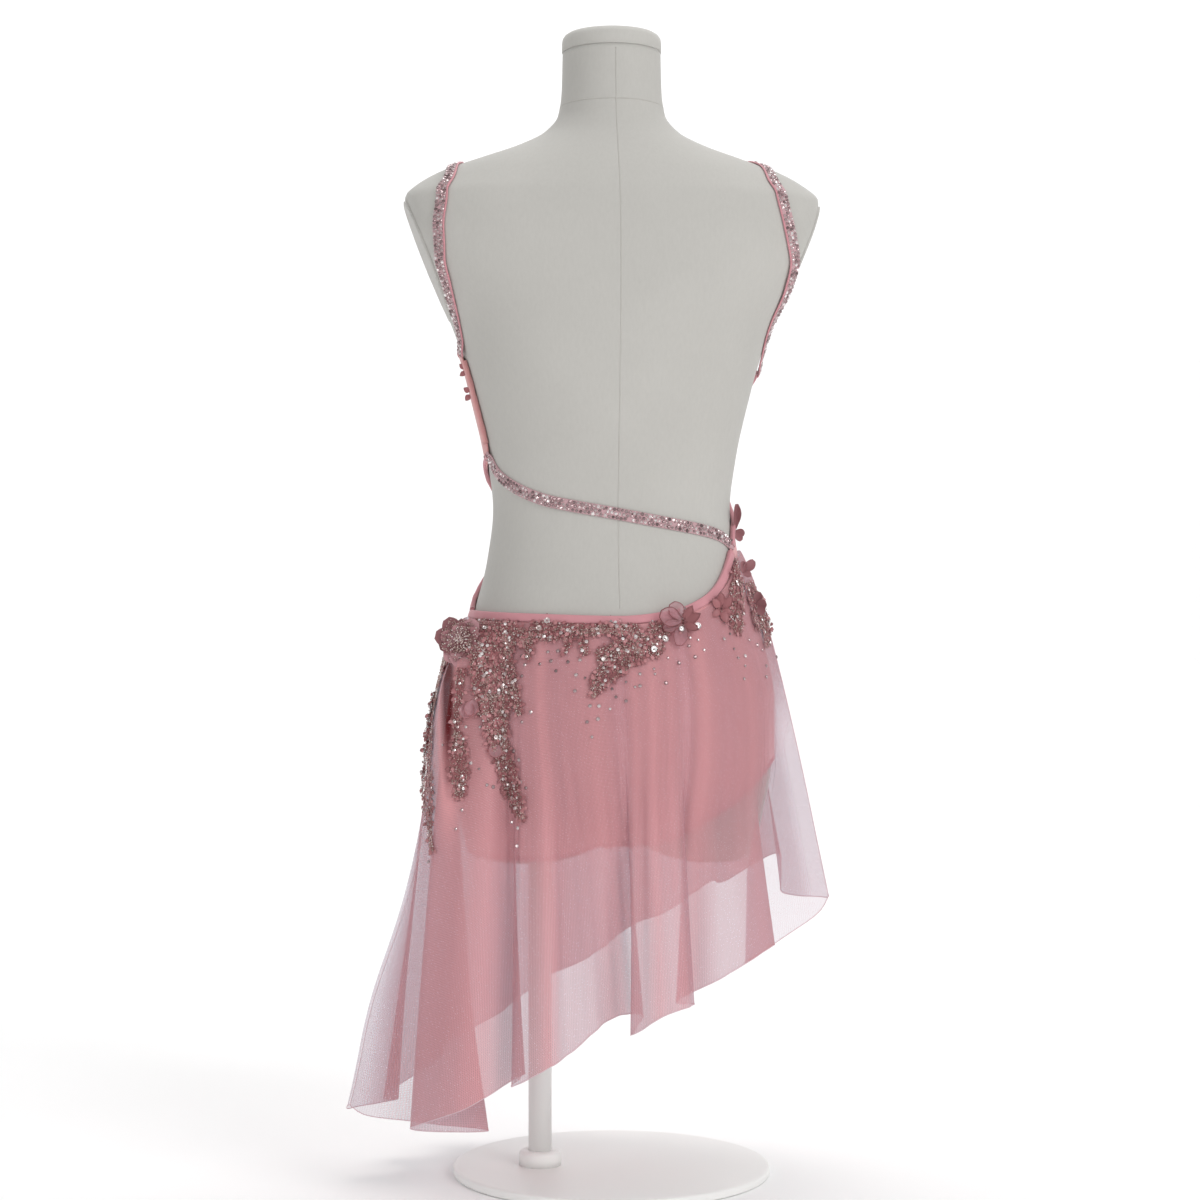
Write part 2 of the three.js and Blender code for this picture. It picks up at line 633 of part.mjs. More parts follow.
// One row for each crest or turn of a fold. topDeg is its place on the waist seam; x and y are its
// place at the hem, seen from above; drop is how far the hem hangs below the slanted line there.
// leave is how fast the cloth leaves the hips and open how fast the fold opens on the way down:
// below 1 most of it happens near the waist, above 1 near the hem.
const skirtFolds = [
  { name: 'rightCorner', topDeg: 0, x: 207, y: -8, drop: 3, leave: 0.72, open: 0.72 },
  { name: 'frontRightValley', topDeg: 14, x: 170, y: 38, drop: 0, leave: 0.72, open: 1.4 },
  { name: 'frontRightCrest', topDeg: 27, x: 172, y: 84, drop: 0, leave: 0.75, open: 1.2 },
  { name: 'frontValleyA', topDeg: 40, x: 122, y: 106, drop: 0, leave: 0.75, open: 1.7 },
  { name: 'frontCrestA', topDeg: 53, x: 112, y: 152, drop: 0, leave: 0.8, open: 1.7 },
  { name: 'frontValleyB', topDeg: 66, x: 66, y: 134, drop: 0, leave: 0.8, open: 1.7 },
  { name: 'frontCrestB', topDeg: 79, x: 36, y: 176, drop: 0, leave: 0.8, open: 1.7 },
  { name: 'frontValleyC', topDeg: 93, x: -12, y: 146, drop: 0, leave: 0.8, open: 1.7 },
  { name: 'frontCrestC', topDeg: 107, x: -56, y: 182, drop: 0, leave: 0.8, open: 1.7 },
  { name: 'frontValleyD', topDeg: 121, x: -100, y: 142, drop: 0, leave: 0.75, open: 1.7 },
  { name: 'frontCrestD', topDeg: 135, x: -150, y: 152, drop: 0, leave: 0.75, open: 1.7 },
  { name: 'frontValleyE', topDeg: 149, x: -164, y: 98, drop: 0, leave: 0.7, open: 1.6 },
  { name: 'frontCrestE', topDeg: 162, x: -216, y: 76, drop: 0, leave: 0.6, open: 1.6 },
  { name: 'frontValleyF', topDeg: 175, x: -202, y: 30, drop: 0, leave: 0.5, open: 1.6 },
  { name: 'leftFlare', topDeg: 187, x: -247, y: -10, drop: -18, leave: 0.8, open: 1.9 },
  { name: 'leftInnerTurn', topDeg: 196, x: -120, y: -88, drop: 44, leave: 0.3, open: 1.2 },
  { name: 'leftOuterTurn', topDeg: 203, x: -190, y: -122, drop: 2, leave: 0.3, open: 0.5 },
  { name: 'leftFace', topDeg: 210, x: -142, y: -156, drop: 0, leave: 0.4, open: 1.2 },
  { name: 'tubeInnerTurn', topDeg: 216, x: -91, y: -126, drop: 0, leave: 0.7, open: 1.5 },
  { name: 'tubeOuterTurn', topDeg: 220, x: -102, y: -157, drop: 0, leave: 0.7, open: 1.5 },
  { name: 'tubeFace', topDeg: 228, x: -74, y: -176, drop: -4, leave: 0.8, open: 1.6 },
  { name: 'tubeEnd', topDeg: 238, x: -46, y: -150, drop: -4, leave: 0.8, open: 1.7 },
  { name: 'middleValley', topDeg: 252, x: -10, y: -121, drop: -10, leave: 0.8, open: 1.7 },
  { name: 'middleInnerTurn', topDeg: 265, x: 18, y: -123, drop: 0, leave: 0.8, open: 1.7 },
  { name: 'middleOuterTurn', topDeg: 270, x: 5, y: -152, drop: 7, leave: 0.8, open: 1.7 },
  { name: 'middleFace', topDeg: 284, x: 32, y: -172, drop: 0, leave: 0.8, open: 1.7 },
  { name: 'rightOuterTurn', topDeg: 298, x: 60, y: -160, drop: 5, leave: 0.8, open: 1.7 },
  { name: 'rightInnerTurn', topDeg: 303, x: 48, y: -132, drop: 0, leave: 0.8, open: 1.7 },
  { name: 'rightFace', topDeg: 316, x: 92, y: -128, drop: 0, leave: 0.8, open: 1.7 },
  { name: 'cornerOuterTurn', topDeg: 333, x: 142, y: -95, drop: 0, leave: 0.75, open: 1.5 },
  { name: 'cornerInnerTurn', topDeg: 341, x: 121, y: -62, drop: 10, leave: 0.72, open: 1.5 },
];
const foldCount = skirtFolds.length;
const foldAt = (i) => skirtFolds[((i % foldCount) + foldCount) % foldCount];

// The hem without its folds: each row averaged with its neighbours.
const foldWeights = [1, 2, 3, 2, 1];
const weightSum = foldWeights.reduce((sum, weight) => sum + weight);
const unfolded = skirtFolds.map((_, i) => {
  const sum = new THREE.Vector2();
  foldWeights.forEach((weight, k) => {
    const { x, y } = foldAt(i + k - Math.floor(foldWeights.length / 2));
    sum.addScaledVector(new THREE.Vector2(x, y), weight / weightSum);
  });
  return sum;
});

function hemHeight({ x, y, drop }) {
  const back = HEM.backMiddle + HEM.backSlope * x;
  const front = HEM.frontMiddle + HEM.frontSlope * x;
  return mix(back, front, easeIn(y, 0, HEM.frontY)) - drop;
}

// A point on the line from a fold's place on the waist seam (fall 0) to its place at the hem (fall 1).
function foldPoint(i, fall) {
  const fold = foldAt(i);
  const flat = unfolded[((i % foldCount) + foldCount) % foldCount];
  const top = onForm(fold.topDeg, waistHeight(fold.topDeg) - SKIRT.belowWaist, SKIRT_CLEARANCE);
  const flare = fall ** fold.leave;
  const folding = fall ** fold.open;
  return new THREE.Vector3(
    mix(top.x, flat.x, flare) + (fold.x - flat.x) * folding,
    mix(top.y, flat.y, flare) + (fold.y - flat.y) * folding,
    mix(top.z, hemHeight(fold), fall),
  );
}

// Keeps the cloth outside the form: it rests on the hips and the seat, and hangs free below.
function clearOfForm(p) {
  const deg = THREE.MathUtils.radToDeg(Math.atan2(p.y, p.x));
  const below = Math.max(0, FORM.bottom - p.z);
  const least = formRadius(deg, Math.max(p.z, FORM.bottom)) + SKIRT_CLEARANCE - SKIRT.tuck * below;
  const r = Math.hypot(p.x, p.y);
  const pushed = r + SKIRT.bend * Math.log1p(Math.exp((least - r) / SKIRT.bend));
  p.x *= pushed / r;
  p.y *= pushed / r;
  return p;
}

// column counts the rows of the fold table, and may lie between two of them.
function skirtPoint(column, fall) {
  const i = Math.floor(column);
  const t = column - i;
  const [a, b, c, d] = [-1, 0, 1, 2].map((k) => foldPoint(i + k, fall));
  const blend = (key) => {
    const turn = 0.5 * (c[key] - a[key]);
    const next = 0.5 * (d[key] - b[key]);
    const span = c[key] - b[key];
    return b[key] + t * (turn + t * (3 * span - 2 * turn - next + t * (turn + next - 2 * span)));
  };
  return clearOfForm(new THREE.Vector3(blend('x'), blend('y'), blend('z')));
}

const skirtLeftSeam = skirtFolds.findIndex((row) => row.name === 'leftFlare');
const seamShare = 0.012; // of a fold's width, about half the seam's gap at the hips
const skirtPanels = {
  skirt_back: { from: skirtLeftSeam, to: foldCount, columns: 51, rows: 11 },
  skirt_front: { from: 0, to: skirtLeftSeam, columns: 35, rows: 9 },
};

// The corners of a panel's mesh, at whole steps i along its width and j down its length.
function panelCorner({ from, to, columns, rows }, i, j) {
  const column = mix(from + seamShare, to - seamShare, i / columns);
  return skirtPoint(column, (j / rows) ** SKIRT.rowSpread);
}

// The flat-sided cloth between those corners, for what is sewn on it.
function panelPoint(panel, column, fall) {
  const a = THREE.MathUtils.clamp((column - panel.from) / (panel.to - panel.from), 0, 0.9999) * panel.columns;
  const b = THREE.MathUtils.clamp(fall, 0, 0.9999) ** (1 / SKIRT.rowSpread) * panel.rows;
  const [i, j] = [Math.floor(a), Math.floor(b)];
  const near = panelCorner(panel, i, j).lerp(panelCorner(panel, i + 1, j), a - i);
  const far = panelCorner(panel, i, j + 1).lerp(panelCorner(panel, i + 1, j + 1), a - i);
  return near.lerp(far, b - j);
}

function addSkirtPanels() {
  for (const [name, panel] of Object.entries(skirtPanels)) {
    const { from, to, columns, rows } = panel;
    const surface = (u, v) => {
      return skirtPoint(mix(from + seamShare, to - seamShare, u), v ** SKIRT.rowSpread);
    };
    add(name, clothWall(columns, rows, surface, -SHEER_CLOTH / 2, SHEER_CLOTH / 2), sheerPink);
  }
}

// ---------- applique and flowers ----------

// The place in the fold table of an angle on the waist seam.
function columnOf(deg) {
  const rows = [...skirtFolds.map((row) => row.topDeg), 360];
  let i = 0;
  while (i < rows.length - 2 && deg > rows[i + 1]) i += 1;
  return i + (deg - rows[i]) / (rows[i + 1] - rows[i]);
}

// A point on the back skirt at an angle on the waist seam and a distance down from its top edge.
function skirtAt(deg, down) {
  const column = columnOf(deg);
  const i = Math.floor(column);
  const hem = mix(hemHeight(foldAt(i)), hemHeight(foldAt(i + 1)), column - i);
  const length = waistHeight(deg) - SKIRT.belowWaist - hem;
  return panelPoint(skirtPanels.skirt_back, column, down / length);
}

const laceLift = (gap) => SHEER_CLOTH / 2 + gap;
const HIP_RADIUS = 150; // turns a width into an angle round the hips

// Lace sewn flat along the waist: upper and lower are distances below the skirt's top edge.
const laceBands = [
  { name: 'lace_left_hip', from: 188, to: 212.5, upper: 3, lower: 58, scallop: 9, lobes: 3, gap: 3 },
  { name: 'lace_back_band', from: 213.8, to: 259, upper: 2, lower: 27, scallop: 8, lobes: 5, gap: 1.3 },
  { name: 'lace_back_drop', from: 260, to: 286, upper: 4, lower: 52, scallop: 14, lobes: 1, gap: 0.9 },
  { name: 'lace_right_run', from: 287, to: 318, upper: 3, lower: 36, scallop: 9, lobes: 3, gap: 0.8 },
  { name: 'lace_right_hip', from: 319.2, to: 349, upper: 5, lower: 72, scallop: 16, lobes: 2, gap: 1.3 },
];

// Lace hanging down the skirt from a start to an end, widest part in millimetres.
const laceTails = [
  { name: 'lace_tail_outer', fromDeg: 200.2, toDeg: 201.4, from: 74, to: 205, width: 12, gap: 2.6 },
  { name: 'lace_tail_middle', fromDeg: 205.6, toDeg: 206.2, from: 78, to: 165, width: 13, gap: 1.4 },
  { name: 'lace_tail_inner', fromDeg: 211.5, toDeg: 217.8, from: 74, to: 196, width: 19, gap: 2.7 },
];

function addLace() {
  for (const { name, from, to, upper, lower, scallop, lobes, gap } of laceBands) {
    const surface = (u, v) => {
      const wave = Math.abs(Math.sin(Math.PI * lobes * u));
      const bottom = lower - scallop + 2 * scallop * wave;
      return skirtAt(mix(from, to, u), mix(bottom, upper, v));
    };
    const columns = Math.max(9, 4 * lobes + 2);
    const lift = laceLift(gap);
    add(name, clothWall(columns, 3, surface, lift, lift + APPLIQUE.thickness), lacePink);
  }
  for (const { name, fromDeg, toDeg, from, to, width, gap } of laceTails) {
    const surface = (u, v) => {
      const leaf = Math.sin(Math.PI * Math.min(0.97, 0.18 + 0.8 * v)) ** 0.7;
      const ripple = 0.82 + 0.18 * Math.cos(v * Math.PI * 8);
      const halfDeg = THREE.MathUtils.radToDeg(((width / 2) * leaf * ripple) / HIP_RADIUS);
      return skirtAt(mix(fromDeg, toDeg, v) + (2 * u - 1) * halfDeg, mix(from, to, v));
    };
    const lift = laceLift(gap);
    add(name, clothWall(2, 12, surface, lift, lift + APPLIQUE.thickness, -1), lacePink);
  }
}

// A five-petalled cupped flower, its back at the origin and its face towards +Z.
function flowerGeometry({ radius, cup }) {
  const petals = 5;
  const around = petals * 4;
  const reach = (i) => {
    const turn = Math.abs(Math.cos((petals * Math.PI * i) / around));
    return radius * (0.5 + 0.5 * turn ** 0.7);
  };
  const ring = (share, lift, up) => {
    const points = [];
    for (let i = 0; i < around; i += 1) {
      const r = reach(i) * share;
      const angle = (2 * Math.PI * i) / around;
      const z = up + cup * (r / radius) ** 2 * lift;
      points.push(new THREE.Vector3(r * Math.cos(angle), r * Math.sin(angle), z));
    }
    return points;
  };
  const thick = 1.3;
  const rings = [ring(0.4, 1, 0), ring(1, 1, 0), ring(1, 1, thick), ring(0.4, 1, thick)];
  return ringSolid(rings, new THREE.Vector3(0, 0, 0), new THREE.Vector3(0, 0, thick + 1));
}

// Flowers on the bodice and the brief are placed by angle and height, those on the skirt by drop.
const flowers = [
  { name: 'flower_side_top', deg: 358, z: 622, radius: 11, cup: 7, off: 3.2 },
  { name: 'flower_side_low', deg: 354.5, down: 24, radius: 13, cup: 8, off: 1.2 },
  { name: 'flower_hip_right', deg: 330, down: 26, radius: 14, cup: 5, off: 3.8 },
  { name: 'flower_back_right', deg: 301, down: 20, radius: 17, cup: 6, off: 3.8 },
  { name: 'flower_left_hip', deg: 192, down: 32, radius: 23, cup: 5, off: 6 },
  { name: 'flower_bodice_left', deg: 184, z: 752, radius: 9, cup: 5, off: 3.2 },
];

function addFlowers() {
  for (const flower of flowers) {
    const onSkirt = flower.down !== undefined;
    const surface = onSkirt ? skirtAt : formPoint;
    const at = onSkirt ? flower.down : flower.z;
    const normal = normalOf(surface, flower.deg, at, 0.5, 0.5).multiplyScalar(onSkirt ? -1 : 1);
    const mesh = add(flower.name, flowerGeometry(flower), petalPink);
    mesh.position.copy(surface(flower.deg, at)).addScaledVector(normal, flower.off);
    mesh.quaternion.setFromUnitVectors(new THREE.Vector3(0, 0, 1), normal);
  }
}

// ---------- assembly ----------

addForm();
addStand();
addBodice();
addBriefPanel('brief_back', 180, 360);
addBriefPanel('brief_front', 0, 180);
addGusset();
addStraps();
addSkirtPanels();
addLace();
addFlowers();

export default model;
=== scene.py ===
import math
import bpy
import numpy as np
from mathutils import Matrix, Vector
from mathutils.bvhtree import BVHTree


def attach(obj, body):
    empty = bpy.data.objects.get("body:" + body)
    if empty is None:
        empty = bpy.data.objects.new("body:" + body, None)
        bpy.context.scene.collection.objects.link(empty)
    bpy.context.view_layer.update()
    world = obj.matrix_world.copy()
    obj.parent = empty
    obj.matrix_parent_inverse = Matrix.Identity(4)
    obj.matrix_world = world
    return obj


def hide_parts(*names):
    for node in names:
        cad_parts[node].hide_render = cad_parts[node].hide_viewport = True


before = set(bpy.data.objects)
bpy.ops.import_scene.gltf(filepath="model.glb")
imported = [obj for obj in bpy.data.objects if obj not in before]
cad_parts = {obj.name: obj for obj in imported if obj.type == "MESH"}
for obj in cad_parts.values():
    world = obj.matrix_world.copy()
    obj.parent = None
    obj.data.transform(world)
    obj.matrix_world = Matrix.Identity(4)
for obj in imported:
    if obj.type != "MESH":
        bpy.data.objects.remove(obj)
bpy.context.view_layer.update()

# Places on the form are (degrees, height): 0 is the wearer's right, 90 the front, 180 the left,
# 270 the back. Sizes are in millimetres until a mesh is made.
mm = 0.001
rng = np.random.default_rng(7)
scene = bpy.context.scene
scene.view_settings.view_transform = "Standard"

# The camera is level, turned a little to the wearer's left. pixel is how many millimetres one pixel of its
# view spans at the middle.
shot = {
    "turn": -4.5, "distance": 2400, "middle": (-11, 0, 543), "viewWidth": 1140, "pixels": 1200,
    "sensor": 36, "farthest": 100,
}
turned = math.radians(shot["turn"])
cameraRight = np.array([math.cos(turned), math.sin(turned), 0])
cameraIn = np.array([-math.sin(turned), math.cos(turned), 0])
eye = np.array(shot["middle"]) - cameraIn * shot["distance"]
pixel = shot["viewWidth"] / shot["pixels"]


def table(names, *rows):
    return [dict(zip(names.split(), row)) for row in rows]


def mix(a, b, t):
    return a + (b - a) * t


def bell(distance, width):
    return np.exp(-((distance / width) ** 2))


def smoothStep(value, low, high):
    t = np.clip((value - low) / (high - low), 0, 1)
    return t * t * (3 - 2 * t)


def unit(vectors):
    return vectors / np.maximum(np.linalg.norm(vectors, axis=-1, keepdims=True), 1e-9)


# A curve through a table's column that never overshoots its rows.
def smoothColumn(rows, at, column):
    x = np.array([row[at] for row in rows], float)
    y = np.array([row[column] for row in rows], float)
    step = np.diff(y) / np.diff(x)
    both = step[:-1] * step[1:]
    inner = np.where(both > 0, 2 * both / np.where(both > 0, step[:-1] + step[1:], 1), 0)
    slope = np.concatenate([step[:1], inner, step[-1:]])

    def curve(where):
        p = np.clip(np.asarray(where, float), x[0], x[-1])
        i = np.clip(np.searchsorted(x, p, side="right") - 1, 0, len(x) - 2)
        width = x[i + 1] - x[i]
        t = (p - x[i]) / width
        start = (2 * t**3 - 3 * t**2 + 1) * y[i] + (t**3 - 2 * t**2 + t) * width * slope[i]
        return start + (3 * t**2 - 2 * t**3) * y[i + 1] + (t**3 - t**2) * width * slope[i + 1]

    return curve


def roundColumn(rows, column):
    allRound = [{**row, "deg": row["deg"] + turn} for turn in (-360, 0, 360) for row in rows]
    return smoothColumn(allRound, "deg", column)


# A smooth curve from b to c that comes from a and goes on to d.
def rounded(a, b, c, d, t):
    turn, following, span = (c - a) / 2, (d - b) / 2, c - b
    return b + t * (turn + t * (3 * span - 2 * turn - following + t * (turn + following - 2 * span)))


# A line through rows of an angle and a height, t running from 0 to 1.
def bodyLine(rows):
    knots = np.array([[row["deg"], row["z"]] for row in rows], float)

    def point(t):
        s = np.clip(np.asarray(t, float), 0, 1) * (len(knots) - 1)
        i = np.minimum(s.astype(int), len(knots) - 2)
        before, after = np.maximum(i - 1, 0), np.minimum(i + 2, len(knots) - 1)
        return rounded(knots[before], knots[i], knots[i + 1], knots[after], (s - i)[..., None])

    return point


def addMesh(name, vertices, faces, material, smooth=True, uv=None, tone=None):
    mesh = bpy.data.meshes.new(name)
    faces = faces.tolist() if isinstance(faces, np.ndarray) else faces
    mesh.from_pydata((np.asarray(vertices, float).reshape(-1, 3) * mm).tolist(), [], faces)
    if uv is not None:
        corner = np.zeros(len(mesh.loops), np.int32)
        mesh.loops.foreach_get("vertex_index", corner)
        layer = mesh.uv_layers.new(name="cloth")
        layer.data.foreach_set("uv", np.asarray(uv, float).reshape(-1, 2)[corner].ravel())
    if tone is not None:
        layer = mesh.attributes.new("tone", "FLOAT", "POINT")
        layer.data.foreach_set("value", np.asarray(tone, float).ravel())
    mesh.polygons.foreach_set("use_smooth", np.full(len(mesh.polygons), smooth))
    mesh.materials.append(material)
    mesh.update()
    made = bpy.data.objects.new(name, mesh)
    scene.collection.objects.link(made)
    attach(made, "root")
    return made


def gridFaces(columns, rows, start=0):
    i, j = np.meshgrid(np.arange(columns), np.arange(rows), indexing="ij")
    here, beyond = start + i * (rows + 1) + j, start + (i + 1) * (rows + 1) + j
    return np.stack([here, beyond, beyond + 1, here + 1], -1).reshape(-1, 4)


def unitGrid(columns, rows):
    return np.meshgrid(np.linspace(0, 1, columns + 1), np.linspace(0, 1, rows + 1), indexing="ij")


def lengths(points):
    return np.concatenate([[0], np.cumsum(np.linalg.norm(np.diff(points, axis=0), axis=1))])


# Each point's place on the cloth laid flat, in millimetres.
def flatPlaces(points):
    across, down = lengths(points[:, points.shape[1] // 2]), lengths(points[points.shape[0] // 2])
    return np.stack(np.broadcast_arrays(across[:, None], down[None, :]), -1)


def addCloth(name, points, material, thickness=0.0, tone=None):
    columns, rows = points.shape[0] - 1, points.shape[1] - 1
    made = addMesh(name, points, gridFaces(columns, rows), material, uv=flatPlaces(points), tone=tone)
    if thickness:
        wall = made.modifiers.new("cloth wall", "SOLIDIFY")
        wall.thickness, wall.offset = thickness * mm, 0
    return made


# A solid through rings of equal length, closed at each end by a point.
def ringSolid(rings):
    rings = np.asarray(rings, float)
    count, around = rings.shape[:2]
    points = np.concatenate([rings.reshape(-1, 3), rings[0].mean(0)[None], rings[-1].mean(0)[None]])
    faces = []
    for i in range(around):
        after = (i + 1) % around
        faces.append([count * around, after, i])
        faces.append([count * around + 1, (count - 1) * around + i, (count - 1) * around + after])
        faces += [[k * around + i, k * around + after, (k + 1) * around + after, (k + 1) * around + i]
                  for k in range(count - 1)]
    return points, faces


# A closed section, as (across, up) pairs, drawn along a path whose up vectors are given.
def sweep(path, up, section, closed=False):
    path, section = np.asarray(path, float), np.asarray(section, float)
    if closed:
        forward = np.roll(path, -1, 0) - np.roll(path, 1, 0)
    else:
        forward = np.gradient(path, axis=0)
    across = unit(np.cross(forward, up))
    rise = unit(np.cross(across, forward))
    if section.ndim == 2:
        section = np.broadcast_to(section, (len(path),) + section.shape)
    points = path[:, None] + across[:, None] * section[..., :1] + rise[:, None] * section[..., 1:]
    around, steps = section.shape[1], len(path)
    faces = []
    for k in range(steps if closed else steps - 1):
        here, there = k * around, ((k + 1) % steps) * around
        for i in range(around):
            after = (i + 1) % around
            faces.append([here + i, here + after, there + after, there + i])
    if not closed:
        faces += [list(range(around)), list(range((steps - 1) * around, steps * around))[::-1]]
    return points.reshape(-1, 3), faces


def roundSection(radius, sides=6):
    turn = np.linspace(0, 2 * math.pi, sides, endpoint=False)
    return radius * np.stack([np.cos(turn), np.sin(turn)], -1)


def joined(parts):
    points, faces, start = [], [], 0
    for partPoints, partFaces in parts:
        points.append(np.asarray(partPoints, float).reshape(-1, 3))
        faces += [[v + start for v in face] for face in partFaces]
        start += len(points[-1])
    return np.concatenate(points), faces


# Many small shapes as one mesh: where each is, which way it faces and lies, its size and its tone.
def scatter(name, shape, at, out, material, along=None, scale=1.0, tone=None, smooth=False):
    shapePoints, shapeFaces = shape
    at, out = np.asarray(at, float), unit(np.asarray(out, float))
    count, corners = len(at), len(shapePoints)
    along = rng.normal(size=(count, 3)) if along is None else np.asarray(along, float)
    side = unit(along - (along * out).sum(1, keepdims=True) * out)
    over = np.cross(out, side)
    scale = np.asarray(scale, float)
    scale = np.broadcast_to(scale[:, None] if scale.ndim == 1 else scale, (count, 3))
    local = shapePoints[None] * scale[:, None]
    points = at[:, None] + local[..., :1] * side[:, None] + local[..., 1:2] * over[:, None]
    points = points + local[..., 2:] * out[:, None]
    faces = [[v + k * corners for v in face] for k in range(count) for face in shapeFaces]
    tone = rng.random(count) if tone is None else np.asarray(tone, float)
    return addMesh(name, points, faces, material, smooth, tone=np.repeat(tone, corners))


def linear(hexColour):
    parts = [int(hexColour[i:i + 2], 16) / 255 for i in (1, 3, 5)]
    return tuple(c / 12.92 if c <= 0.04045 else ((c + 0.055) / 1.055) ** 2.4 for c in parts) + (1,)


# Adds a node with its settings and links. A node given as a link gives its first output; stops are the
# places and colours of a ramp, each colour an sRGB hex value or a grey.
def node(tree, kind, settings={}, links={}, stops=()):
    made = tree.nodes.new("ShaderNode" + kind)
    for name, value in settings.items():
        setattr(made, name, value)
    for name, value in links.items():
        value = value.outputs[0] if isinstance(value, bpy.types.Node) else value
        if isinstance(value, bpy.types.NodeSocket):
            tree.links.new(value, made.inputs[name])
        else:
            made.inputs[name].default_value = value
    if stops:
        elements = made.color_ramp.elements
        for extra in stops[2:]:
            elements.new(1)
        for element, (place, colour) in zip(elements, stops):
            element.position = place
            element.color = linear(colour) if isinstance(colour, str) else (colour, colour, colour, 1)
    return made


def newMaterial(name):
    made = bpy.data.materials.new(name)
    made.use_nodes = True
    made.node_tree.nodes.clear()
    return made, made.node_tree


# Cloth places are in millimetres along the cloth; solid places are in metres. A wave texture of scale 1
# repeats after this length.
wavePeriod = 0.314


# Linen-look cotton, woven and pulled smooth over padding: soft slubs and faint clouds, no gloss.
def linenCover(name, pale, dark, slubMm=2.381, cloudMm=111.1, slubShare=0.45):
    made, tree = newMaterial(name)
    place = node(tree, "TexCoord").outputs["Object"]
    longer = node(tree, "Mapping", {}, {"Vector": place, "Scale": (1, 1, 0.35)})
    weave = {"Vector": longer, "Scale": 1 / (slubMm * mm), "Detail": 4, "Roughness": 0.6}
    slubs = node(tree, "TexNoise", {}, weave)
    clouds = node(tree, "TexNoise", {}, {"Vector": place, "Scale": 1 / (cloudMm * mm), "Detail": 2})
    cloudPart = node(tree, "Math", {"operation": "MULTIPLY"}, {0: clouds, 1: 1 - slubShare})
    both = node(tree, "Math", {"operation": "MULTIPLY_ADD"}, {0: slubs, 1: slubShare, 2: cloudPart})
    colour = node(tree, "ValToRGB", {}, {"Fac": both}, stops=[(0.3, dark), (0.7, pale)])
    raised = node(tree, "Bump", {}, {"Height": slubs, "Strength": 0.03, "Distance": 0.4 * mm})
    finish = {"Base Color": colour, "Roughness": 0.9, "Normal": raised, "Sheen Weight": 0.15}
    node(tree, "OutputMaterial", {}, {"Surface": node(tree, "BsdfPrincipled", {}, finish)})
    return made


# Powder baked on steel, and overlocked yarn too fine to show: even colour with a faint orange peel.
def smoothCoat(name, colour, roughness, peelMm=1.4286):
    made, tree = newMaterial(name)
    place = node(tree, "TexCoord").outputs["Object"]
    peel = node(tree, "TexNoise", {}, {"Vector": place, "Scale": 1 / (peelMm * mm), "Detail": 1})
    raised = node(tree, "Bump", {}, {"Height": peel, "Strength": 0.05, "Distance": 0.3 * mm})
    finish = {"Base Color": linear(colour), "Roughness": roughness, "Normal": raised}
    node(tree, "OutputMaterial", {}, {"Surface": node(tree, "BsdfPrincipled", {}, finish)})
    return made


# Nylon and elastane, knitted: fine wales along the cloth and a soft bloom where it turns away. Real
# wales are near 0.4 mm apart; they are drawn at 1.1 mm to show.
def stretchJersey(name, pale, dark, ribMm=1.1, cloudMm=33.33, ribShare=0.25):
    made, tree = newMaterial(name)
    place = node(tree, "UVMap", {"uv_map": "cloth"})
    wales = {"Vector": place, "Scale": wavePeriod / ribMm, "Distortion": 0.6, "Detail": 1}
    ribs = node(tree, "TexWave", {}, wales).outputs["Fac"]
    clouds = node(tree, "TexNoise", {}, {"Vector": place, "Scale": 1 / cloudMm, "Detail": 3})
    cloudPart = node(tree, "Math", {"operation": "MULTIPLY"}, {0: clouds, 1: 1 - ribShare})
    both = node(tree, "Math", {"operation": "MULTIPLY_ADD"}, {0: ribs, 1: ribShare, 2: cloudPart})
    colour = node(tree, "ValToRGB", {}, {"Fac": both}, stops=[(0.3, dark), (0.7, pale)])
    raised = node(tree, "Bump", {}, {"Height": ribs, "Strength": 0.2, "Distance": 0.2 * mm})
    finish = {"Base Color": colour, "Roughness": 0.7, "Sheen Weight": 0.3, "Normal": raised}
    node(tree, "OutputMaterial", {}, {"Surface": node(tree, "BsdfPrincipled", {}, finish)})
    return made


